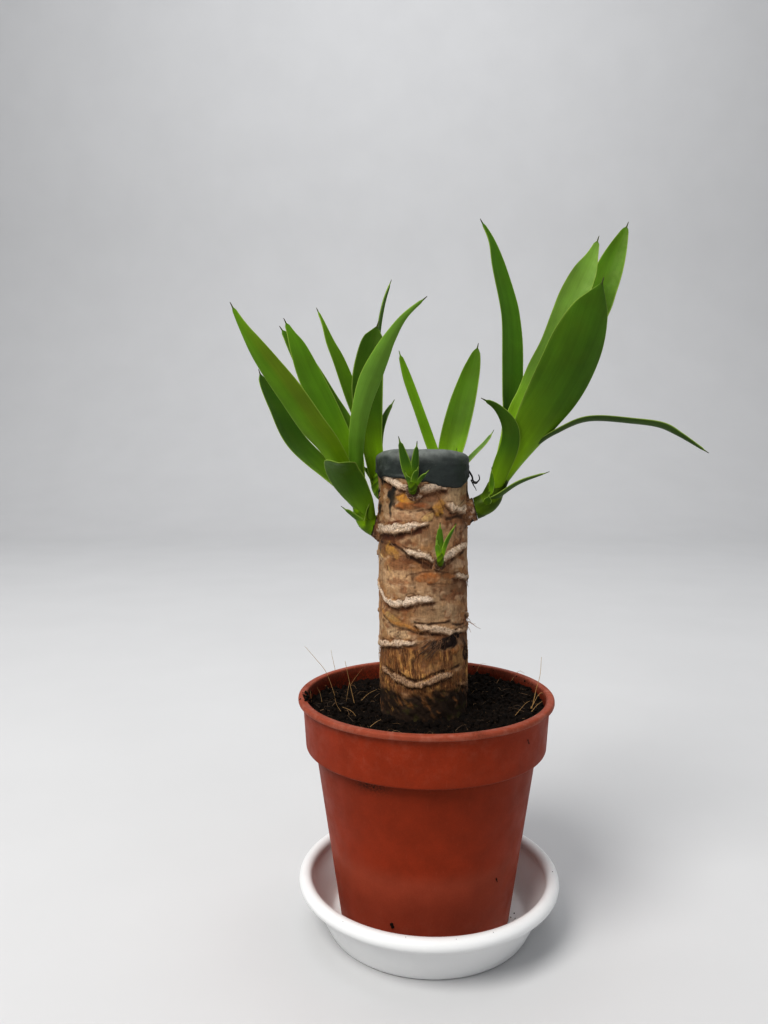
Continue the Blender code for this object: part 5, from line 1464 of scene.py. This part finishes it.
def make_shoot(node, shoot, material):
    way = unit(shoot["way"])
    start = np.array(shoot["root"]) + (shoot["stub"][1] + CLEARANCE) * way
    knots = [(*start, shoot["stem_radii"][0])]
    knots += [(*point, radius) for point, radius in zip(shoot["stem"], shoot["stem_radii"][1:])]
    line = smooth_line(knots, 24)
    shape = Shape("run", "sideways", "leaf_number")
    part = np.linspace(0, 1, len(line))[:, None] * np.ones(STEM_SIDES)
    tone = shoot.get("stem_tone", STEM_TONE)
    turn = np.arange(STEM_SIDES) * 2 * math.pi / STEM_SIDES
    sheath = (3.2 * part + 0.38 * np.sin(turn + 0.8) + 0.15 * np.sin(2 * turn)) % 1
    tint = tone * filled(part, LEAF_WARM)
    tint = tinted(tint, tone * np.array(LEAF_BASE), 0.8 * smooth((0.75 - sheath) / 0.6))
    # Painted shadow: each sheath is dark along its lower edge, where the sheath below shades it; above that
    # it is bright and grows darker towards its top.
    shade = 0.30 + 0.95 * smooth((sheath + 0.02) / 0.16) - 0.40 * smooth((sheath - 0.5) / 0.5)
    tint = tint * shade[..., None]
    radii = line[:, 3:] * (1 + 0.05 * (sheath - 0.5))
    add_tube(shape, line[:, :3], radii, STEM_SIDES, way, tint=tint, run=part * 20,
             sideways=np.sin(turn) * 4 + 0 * part)
    for number, row in enumerate(shoot["blades"]):
        add_blade(shape, *row, number + 1)
    obj = finish_mesh(node + "_leaves", shape, material, 55)
    place_piece(obj, "leaf", node)


def scar_course(azimuth, scar, seed):
    """Along a scar: height of its middle, half thickness, paleness and a strength that fades at its ends."""
    turns, heights, halves, pales = (np.array(column, float) for column in zip(*scar))
    centre = (turns[0] + turns[-1]) / 2
    here = centre + turn_between(azimuth, centre)
    wobble = 0.30 * grain(azimuth, 0, 26, 1, seed) + 0.16 * grain(azimuth, 0, 75, 1, seed + 1)
    inside = np.minimum(here - turns[0], turns[-1] - here)
    half = 1.20 * np.interp(here, turns, halves) * (1 + 0.32 * grain(azimuth, 0, 60, 1, seed + 2))
    middle = np.interp(here, turns, heights) + wobble
    return middle, half, np.interp(here, turns, pales), smooth(inside / 9 + 0.5)


def bark_ground(azimuth, height):
    """Relief and colour of the bark between the scars."""
    relief = 0.28 * layers(azimuth, height, 7, 10, 101) + 0.07 * layers(azimuth, height, 120, 5, 111, 2)
    relief += 0.13 * layers(azimuth, height, 44, 3.0, 115)
    tint = filled(azimuth, BARK_TAN)
    tint = tinted(tint, BARK_PINK, 0.9 * smooth(0.45 + 0.8 * layers(azimuth, height, 12, 12, 121)))
    tint = tinted(tint, BARK_GREY, 0.8 * smooth(0.25 + 1.2 * layers(azimuth, height, 14, 7, 131)))
    for i, (*patch, colour, strength) in enumerate(BARK_PATCHES):
        tint = tinted(tint, colour, strength * blot(azimuth, height, patch, 140 + i, 0.45))
    low = smooth((150 - height) / 30)
    tint = tinted(tint, BARK_BROWN, low * (0.30 + 0.45 * layers(azimuth, height, 20, 6, 181)))
    blotchy = smooth(1.9 * layers(azimuth, height, 26, 3.4, 191) - 0.60)
    tint = tinted(tint, BARK_RUST, 0.62 * blotchy)
    chalky = smooth(1.9 * layers(azimuth, height, 24, 3.0, 195) - 0.80)
    tint = tinted(tint, BARK_CHALK, 0.60 * chalky)
    streaky = smooth(grain(azimuth, height, 150, 6, 201) + 0.7 * grain(azimuth, height, 250, 3, 202) - 0.35)
    tint = tinted(tint, BARK_BROWN, 0.42 * streaky)
    wrinkled = grain(azimuth, height, 34, 1.1, 211) * grain(azimuth, height, 60, 2.5, 212)
    wrinkled = smooth(2.2 * wrinkled - 0.25)
    tint = tinted(tint, LINE_BROWN, 0.75 * wrinkled)
    relief -= 0.12 * wrinkled
    return relief, tint


def bark_fields(azimuth, height):
    """Relief in millimetres, colour, and the masks pale (granular scar) and fibre, over the cane."""
    relief, tint = bark_ground(azimuth, height)
    sway = 1.5 * grain(azimuth, height, 26, 5, 91) + 0.7 * grain(azimuth, height, 90, 1.8, 92)
    lift = 0.35 * grain(azimuth, height, 24, 6, 93) + 0.2 * grain(azimuth, height, 90, 1.6, 94)
    azimuth, height = azimuth + sway, height + lift
    fibre = smooth((FIBRE_TOP - height + 1.5 * grain(azimuth, height, 30, 4, 171)) / 2.5)
    fibre *= smooth((height - 112) / 6)
    for patch in BARE_PATCHES:
        fibre *= 1 - 0.72 * blot(azimuth, height, patch, 173, 0.5)
    tint = tinted(tint, FIBRE_BROWN, 0.72 * fibre)
    bent = azimuth + 2.5 * grain(azimuth, height, 16, 5, 223) + 0.35 * (height - 130)
    strands = 0.8 * grain(bent, height, 200, 4.5, 221) + 0.8 * grain(bent, height, 110, 6, 222)
    strands *= np.clip(0.8 + 0.9 * layers(azimuth, height, 18, 4, 224), 0.15, 1.6)
    tint = tinted(tint, FIBRE_GOLD, 0.90 * fibre * smooth(strands * 2.0 - 0.50))
    tint = tinted(tint, FIBRE_GAP, 0.85 * fibre * smooth(-strands * 2.1 - 0.40))
    relief += 0.22 * fibre * strands
    relief, tint, pale = scarred(azimuth, height, relief, tint)
    relief, tint, pale = marked(azimuth, height, relief, tint, pale)
    rotten = smooth((STAIN_TOP + 1 - height) / 4)
    relief += rotten * (0.35 * layers(azimuth + 2.2 * height, height, 56, 3.0, 771) - 0.15)
    tint = tint * (1 - (1 - np.clip(pale, 0, 1))[..., None] * np.array((0.0, 0.07, 0.22)))
    return relief, *soil_stained(azimuth, height, tint, pale, fibre)


def scarred(azimuth, height, relief, tint):
    """Lays the leaf scars over the bark, and gives the pale mask too."""
    pale = np.zeros_like(height)
    for i, scar in enumerate(SCARS):
        middle, half, whitish, strength = scar_course(azimuth, scar, 300 + 9 * i)
        ragged = layers(azimuth, height, 130, 0.9, 304 + 9 * i, 2)
        offset = height - middle + 0.40 * ragged + 0.30 * grain(azimuth, height, 44, 2.0, 305 + 9 * i)
        below = -half - offset
        above = offset - half
        depth = np.clip(below, 0, FAR)
        hollow = np.where(below > 0, np.exp(-depth / 3.2), bell(below, 0.35))
        shoulder = np.exp(-np.clip(above, 0, FAR) / 4.0) * smooth(above / 0.5)
        patchy = np.clip(0.85 + 0.45 * layers(azimuth, height, 30, 3, 303 + 9 * i), 0.2, 1.3)
        relief += strength * (0.36 * shoulder - 0.66 * hollow * patchy)
        # Painted shade under each scar: a brown shade fading down over a few millimetres, and a darker
        # painted shadow right under its lip.
        shaded = strength * (below > 0) * patchy
        tint = tinted(tint, SCAR_SHADE, 0.75 * shaded * np.exp(-depth / 4.0))
        tint = tinted(tint, SCAR_UNDER_SHADOW, 0.92 * shaded * np.exp(-depth / 1.1))
        band = smooth((half - np.abs(offset)) / 0.45 + 0.5) * strength
        relief += band * (0.70 - 0.10 * np.clip(offset / half, -1, 1))
        relief += 0.20 * band * layers(azimuth, height, 150, 0.8, 306 + 9 * i, 2)
        # The band's lower side gets a tan that is partly its own colour and partly painted shade, where it
        # faces down.
        low_side = smooth((-offset / half + 0.05) / 0.8)
        base = tinted(filled(height, SCAR_DULL), SCAR_PALE, whitish)
        base = tinted(base, SCAR_LOW_SIDE, 0.78 * low_side)
        base = tinted(base, SCAR_RAGGED, smooth(ragged * 1.5 - 0.55) * 0.8)
        base = base * (1 - smooth((129 - height) / 7)[..., None] * np.array((0.14, 0.25, 0.34)))
        tint = tinted(tint, base, 0.97 * band)
        pale = np.maximum(pale * (1 - band), band * whitish * (1 - 0.6 * low_side))
        line = 0.75 * bell(above - 0.30, 0.36) * strength * smooth(1.3 * patchy - 0.5)
        tint = tinted(tint, LINE_BROWN, line)
        relief -= 0.35 * line
    return relief, tint, pale


def marked(azimuth, height, relief, tint, pale):
    """Lays the bud scars, lines, frayed knots and blots of wax over the bark."""
    across = turn_between(azimuth, 0) * DEGREE
    for i, (centre, level, wide, tall, tilt, colour, strength) in enumerate(BUD_SCARS):
        sideways = turn_between(azimuth, centre) / wide
        up = (height - level - tilt * sideways) / tall
        spread = np.hypot(sideways, up) + 0.22 * layers(azimuth, height, 50, 2.0, 500 + i)
        inside = smooth((1 - spread) / 0.4 + 0.5)
        relief += 0.5 * np.sqrt(np.clip(1 - spread ** 2, 0, 1))
        mottle = 0.80 + 0.45 * layers(azimuth, height, 60, 2.0, 530 + i, 2)
        tint = tinted(tint, colour, strength * inside * np.clip(mottle, 0, 1.2))
        broken = smooth(0.5 + 1.5 * grain(azimuth, height, 40, 3, 560 + i))
        tint = tinted(tint, LINE_BROWN, 0.6 * bell(spread - 1.12, 0.16) * broken)
        pale = pale * (1 - inside)
    for i, (points, wide, colour, strength, rise) in enumerate(LINES + random_cracks()):
        away = line_distance(across, height, [(a * DEGREE, z) for a, z in points])
        away += 0.16 * wide ** 0.5 * grain(azimuth, height, 110, 1.3, 600 + i)
        mark = bell(away, 0.55 * wide)
        relief += rise * mark
        broken = 0.35 + 0.65 * smooth(0.62 + 1.2 * layers(azimuth, height, 46, 3.2, 600 + i, 2))
        tint = tinted(tint, colour, strength * broken * smooth(1.25 * mark))
        pale = pale * (1 - mark)
    for i, patch in enumerate(FRAY_PATCHES):
        frayed = blot(azimuth, height, patch, 841 + 3 * i)
        dark = 0.95 * frayed * smooth(1.35 + grain(azimuth, height, 110, 1.5, 711))
        tint = tinted(tint, FRAY_BLACK, dark)
        relief += 0.4 * frayed * grain(azimuth, height, 120, 2.0, 712)
        pale = pale * (1 - frayed)
    for patch in WAX_BLOTS:
        waxed = 0.92 * blot(azimuth, height, patch, 721, 0.9)
        relief += 0.2 * waxed
        tint = tinted(tint, WAX_BLACK, waxed)
        pale = pale * (1 - waxed)
    return relief, tint, pale


def soil_stained(azimuth, height, tint, pale, fibre):
    """Darkens the cane's foot, where wet soil and rot have stained it."""
    edge = STAIN_TOP + 3.0 * layers(azimuth, height, 14, 5, 731) - 1.8 * bell(turn_between(azimuth, -16), 30)
    stain = smooth((edge - height) / 4) * (1 - 0.75 * pale)
    clear = smooth(1.5 * layers(azimuth, height, 40, 3.4, 741) - 0.3)
    stain = np.maximum(stain * (0.97 - 0.30 * clear), smooth((106 - height) / 4))
    tint = tinted(tint, STAIN_DARK, stain)
    slanted = azimuth + 2.2 * height
    rusty = 1.5 * layers(slanted, height, 64, 4.5, 751) + 0.8 * layers(azimuth, height, 12, 8, 755)
    tint = tinted(tint, STAIN_RUST, 0.85 * smooth(rusty - 0.40) * stain * smooth((height - 102) / 5))
    golden = smooth(2.0 * layers(slanted, height, 90, 3.0, 757) - 0.9)
    golden = golden * smooth((30 - np.abs(azimuth + 45)) / 20)
    tint = tinted(tint, STAIN_GOLD, 0.7 * golden * stain * smooth((height - 103) / 4))
    mossy = smooth(2.0 * layers(azimuth, height, 30, 3, 761) - 0.9) * stain
    tint = tinted(tint, STAIN_MOSS, 0.5 * mossy)
    return tint, pale * (1 - stain), fibre * (1 - 0.7 * stain)


def blot(azimuth, height, patch, seed, soft=0.22):
    """A ragged patch: 1 inside, 0 outside."""
    centre, level, wide, tall = patch
    spread = np.hypot(turn_between(azimuth, centre) / wide, (height - level) / tall)
    spread = spread + 0.30 * layers(azimuth, height, 44, 2.2, seed, 3)
    return smooth((1 - spread) / soft + 0.5)


def random_cracks():
    """Short cracks all round the bark, with their looks."""
    draw = np.random.default_rng(77)
    cracks = []
    for _ in range(170):
        azimuth, height = draw.uniform(-172, 172), draw.uniform(112, 210)
        points = [(azimuth, height)]
        for _ in range(draw.integers(2, 4)):
            azimuth += draw.normal(0, 5)
            height -= draw.uniform(0.5, 2.2)
            points.append((azimuth, height))
        colour = (LINE_DARK, LINE_BROWN, LINE_RED)[draw.integers(3)]
        cracks.append((tuple(points), draw.uniform(0.3, 0.6), colour, draw.uniform(0.45, 0.85), -0.15))
    return tuple(cracks)


def make_cane():
    rows = round((BARK_TOP - BARK_BOTTOM) / BARK_ROW)
    heights = BARK_BOTTOM + (BARK_TOP - BARK_BOTTOM) * np.arange(rows + 1) / rows
    azimuth = np.arange(BARK_COLUMNS) * 360 / BARK_COLUMNS
    azimuth, height = np.meshgrid(turn_between(azimuth, 0), heights)
    relief, tint, pale, fibre = bark_fields(azimuth, height)
    radius = CANE_RADIUS + relief
    ends = [(CANE_BOTTOM, -CANE_END_BEVEL), (CANE_BOTTOM + CANE_END_BEVEL, 0.0)]
    tops = [(CANE_TOP - CANE_END_BEVEL, 0.0), (CANE_TOP, -CANE_END_BEVEL)]
    count = len(ends)

    def pad(values, low, high):
        below = np.repeat(values[:1] * 0 + low, count, axis=0)
        above = np.repeat(values[:1] * 0 + high, count, axis=0)
        return np.concatenate([below, values, above])

    height = pad(height, 0, 0)
    radius = pad(radius, 0, 0)
    for row, (level, inset) in zip((0, 1, -2, -1), ends + tops):
        height[row] = level
        radius[row] = CANE_RADIUS + inset
    azimuth = pad(azimuth, azimuth[:1], azimuth[:1])
    grid = radius[..., None] * outward(azimuth)
    grid[..., 0] += cane_axis(height)
    grid[..., 2] = height
    shape = Shape("pale", "fibre")
    tint = np.concatenate([tint[:1], tint[:1], tint, tint[-1:], tint[-1:]])
    shape.add_grid(grid, tint=tint, pale=pad(pale, 0, 0), fibre=pad(fibre, 0, 0))
    for number, shoot in enumerate(SHOOTS.values()):
        add_stub(shape, shoot, number)
    obj = finish_mesh("cane_with_bark", shape, bark_material(), 60)
    place_piece(obj, "bark", "cane")


def add_stub(shape, shoot, number):
    """The woody stub under a shoot: flared where it leaves the cane, ragged where the green starts."""
    radius, length = shoot["stub"]
    way = unit(shoot["way"])
    root = np.array(shoot["root"], float)
    turns = np.arange(STUB_SIDES) * 360 / STUB_SIDES
    spine, radii, tints = [], [], []
    for i in range(STUB_STEPS + 1):
        along = -STUB_SUNK * 0.5 + (length + STUB_SUNK * 0.5) * i / STUB_STEPS
        flare = 1 + (STUB_FLARE - 1) * smooth((length - along) / (length + 1.5)) ** 1.6
        rings = bell((along - 0.4 * length) % 1.3 - 0.6, 0.3)
        rough = 0.34 * layers(turns, along, 9, 1.6, 700 + number) + 0.22 * rings
        spine.append(root + along * way)
        radii.append(radius * flare * 1.02 + rough)
        tint = filled(turns, STUB_TAN)
        tint = tinted(tint, BARK_BROWN, 0.85 * smooth(0.35 + layers(turns, along, 14, 2.0, 740 + number)))
        tint = tinted(tint, SCAR_PALE, 0.55 * smooth(1.6 * grain(turns, along, 34, 1.2, 760 + number) - 0.3))
        tint = tinted(tint, LINE_BROWN, 0.7 * smooth(1.8 * grain(turns, along, 24, 0.7, 780 + number) - 0.6))
        tint = tinted(tint, CREASE_DARK, 0.8 * smooth((along - length + 0.7) / 0.6))
        tints.append(tint)
    add_tube(shape, spine, radii, STUB_SIDES, way, tint=np.array(tints), pale=0.25, fibre=0.2)


def wax_edge(azimuth):
    """Height of the wax's ragged lower edge."""
    azimuths, heights = zip(*WAX_EDGE)
    edge = np.interp(azimuth, azimuths, heights, period=360)
    return edge + 0.45 * grain(azimuth, 0, 40, 1, 801) + 0.25 * grain(azimuth, 0, 110, 1, 802)


def make_wax():
    azimuth = turn_between(np.arange(WAX_COLUMNS) * 360 / WAX_COLUMNS, 0)
    edge = wax_edge(azimuth)
    flat = WAX_OUTER_RADIUS - WAX_BEVEL
    profile = [(flat * i / WAX_RINGS, WAX_TOP) for i in range(1, WAX_RINGS)]
    profile += arc((flat, WAX_TOP - WAX_BEVEL), WAX_BEVEL, 90, 0, 12)
    rows_r, rows_z = [], []
    for radius, height in profile:
        rows_r.append(np.full(WAX_COLUMNS, radius))
        rows_z.append(np.full(WAX_COLUMNS, height))
    side_top = WAX_TOP - WAX_BEVEL
    for i in range(1, WAX_SIDE_ROWS + 1):
        part = i / WAX_SIDE_ROWS
        rows_z.append(side_top + (edge - side_top) * part)
        bead = 0.30 * bell(part - 0.90, 0.09) - 0.55 * smooth((part - 0.95) / 0.05)
        rows_r.append(np.full(WAX_COLUMNS, WAX_OUTER_RADIUS) + bead)
    rows_z.append(edge + 0.15)
    rows_r.append(np.full(WAX_COLUMNS, CANE_RADIUS - 0.6))
    radius, height = np.array(rows_r), np.array(rows_z)
    turn = azimuth + 0 * height
    lumps = layers(turn, height, 9, 5.5, 811) * 0.32 + 0.10 * layers(turn, height, 40, 2.5, 821)
    on_side = smooth((radius - flat) / WAX_BEVEL)
    radius = radius + on_side * lumps
    x = np.sin(np.radians(turn)) * radius
    y = -np.cos(np.radians(turn)) * radius
    slump = 1.6 * smooth((x - 8) / 12) + 1.0 * smooth((-x - 12) / 8)
    height = height - slump * smooth((height - 216) / 6)
    dents = 0.5 * on_side * smooth((height - 221) / 3) * smooth(grain(turn, 0, 7, 1, 831) + 0.3)
    height = height + (1 - on_side) * 0.35 * top_bumps(x, y) - dents
    # Painted light: the top and bevel are made paler grey, as where light falls from above, and pale grey
    # patches are laid on the side too.
    dusty = smooth((height - 217.8 + 1.1 * layers(turn, height, 14, 3, 841)) / 5.2)
    dusty = np.maximum(dusty, 0.30 * smooth(layers(turn, height, 12, 3.5, 851) - 0.1))
    tint = tinted(filled(height, WAX_SIDE), WAX_TOP_LIGHT_AND_PALE_PATCHES, dusty)
    inky = smooth((217 - height) / 3) * bell(turn_between(turn, -64), 9)
    tint = tinted(tint, WAX_INK, 0.85 * inky)
    grid = np.stack([x + cane_axis(WAX_AXIS_HEIGHT), y, height], axis=-1)
    shape = Shape()
    shape.add_grid(grid, tint=tint)
    for points, thickness in WAX_SHREDS:
        strand(shape, points, thickness / 2, 6, 0.4, tint=WAX_BLACK)
    obj = finish_mesh("wax_cap", shape, wax_material(), 50)
    place_piece(obj, "wax", "wound_wax")


def top_bumps(x, y):
    return np.vectorize(lambda a, b: noise.noise(Vector((a * 0.16, b * 0.16, 5.0))))(x, y)


def on_cane(azimuth, height, proud=0.0):
    """A place on the cane's side."""
    place = (CANE_RADIUS + proud) * outward(azimuth)
    place[0] += cane_axis(height)
    place[2] = height
    return place


def hair(shape, draw, places, colour, shades, radii):
    """A loose hair over places on the cane, with a drawn shade and radius."""
    tint = np.array(colour) * draw.uniform(*shades)
    strand(shape, [on_cane(*place) for place in places], draw.uniform(*radii), 4, tint=tint)


def make_bark_fibres(material):
    """Loose hairs along the scars' lower edges, frayed fibres in the dark patch, and the seen shreds."""
    draw = np.random.default_rng(55)
    shape = Shape()
    for points, thickness in BARK_SHREDS:
        strand(shape, points, thickness / 2, 4, tint=SHRED_BROWN)
    for scar in SCARS:
        turns, heights = [row[0] for row in scar], [row[1] for row in scar]
        for _ in range(16):
            azimuth = draw.uniform(turns[0], turns[-1])
            height = np.interp(azimuth, turns, heights) - draw.uniform(1.0, 2.2)
            length = draw.uniform(1.0, 3.4)
            slant = draw.normal(0, 5)
            places = ((azimuth, height + 0.6, 0.2), (azimuth + slant * 0.5, height - length / 2, 0.35),
                      (azimuth + slant, height - length, 0.1 + draw.uniform(0, 0.9)))
            hair(shape, draw, places, HAIR_BROWN, (0.25, 1.5), (0.05, 0.13))
    for _ in range(46):
        azimuth = draw.uniform(2, 27)
        height = 140.5 - draw.uniform(0, 3)
        reach = draw.uniform(6, 26)
        drop = draw.uniform(3, 9)
        places = ((azimuth, height, 0.2), (azimuth - 0.5 * reach, height - 0.45 * drop, 0.9),
                  (azimuth - reach, height - drop, 0.35))
        hair(shape, draw, places, KNOT_BROWN, (0.08, 1.1), (0.07, 0.17))
    for _ in range(120):
        azimuth = draw.uniform(-180, 180)
        height = draw.uniform(121, 137)
        length = draw.uniform(2.5, 7)
        slant = draw.normal(0, 2.0)
        places = ((azimuth, height, 0.05), (azimuth + slant / 2, height - length / 2, 0.4),
                  (azimuth + slant, height - length, 0.05))
        hair(shape, draw, places, HAIR_TAN, (0.15, 1.2), (0.06, 0.13))
    obj = finish_mesh("bark_fibres", shape, material, 80)
    place_piece(obj, "bark")


def make_floor():
    """A pale floor that curves up into the backdrop."""
    start, radius = FLOOR_BEND
    bend = arc((start, radius), radius, -90, 0, 24)
    line = [(-FLOOR_REACH, 0.0)] + bend + [(start + radius, BACKDROP_TOP)]
    mesh = bpy.data.meshes.new("floor")
    points = [(x, y, z) for y, z in line for x in (-FLOOR_REACH, FLOOR_REACH)]
    faces = [(2 * i, 2 * i + 1, 2 * i + 3, 2 * i + 2) for i in range(len(line) - 1)]
    mesh.from_pydata(points, [], faces)
    mesh.shade_smooth()
    floor = link("floor", mesh)
    mesh.materials.append(floor_material())


def add_area_light(name, place, target, size, power, colour):
    light = bpy.data.lights.new(name, "AREA")
    light.shape = "DISK"
    light.size = size
    light.energy = power
    light.color = colour
    lamp = link(name, light)
    lamp.location = place
    lamp.rotation_euler = (Vector(target) - Vector(place)).to_track_quat("-Z", "Y").to_euler()


def make_lights():
    world = bpy.data.worlds.new("soft_room")
    world.use_nodes = True
    background = world.node_tree.nodes["Background"]
    background.inputs["Color"].default_value = ROOM_LIGHT
    background.inputs["Strength"].default_value = ROOM_STRENGTH
    bpy.context.scene.world = world
    for light in LIGHTS:
        add_area_light(*light)


def make_camera():
    camera = bpy.data.cameras.new("camera")
    camera.sensor_width = CAMERA_SENSOR
    camera.lens = CAMERA_LENS
    view = link("camera", camera)
    view.location = CAMERA_PLACE
    view.rotation_euler = (math.radians(90 + CAMERA_PITCH), 0, 0)
    bpy.context.scene.camera = view


make_camera()
make_lights()
make_floor()
make_saucer()
make_pot()
peat = make_soil()
make_crumbs(peat)
dry_fibre = fibre_material()
make_straw(dry_fibre)
make_cane()
make_bark_fibres(dry_fibre)
make_wax()
green_leaf = leaf_material()
for node_name, shoot_sizes in SHOOTS.items():
    make_shoot(node_name, shoot_sizes, green_leaf)
bpy.context.scene.view_settings.view_transform = "Standard"
bpy.context.scene.view_settings.gamma = DISPLAY_GAMMA
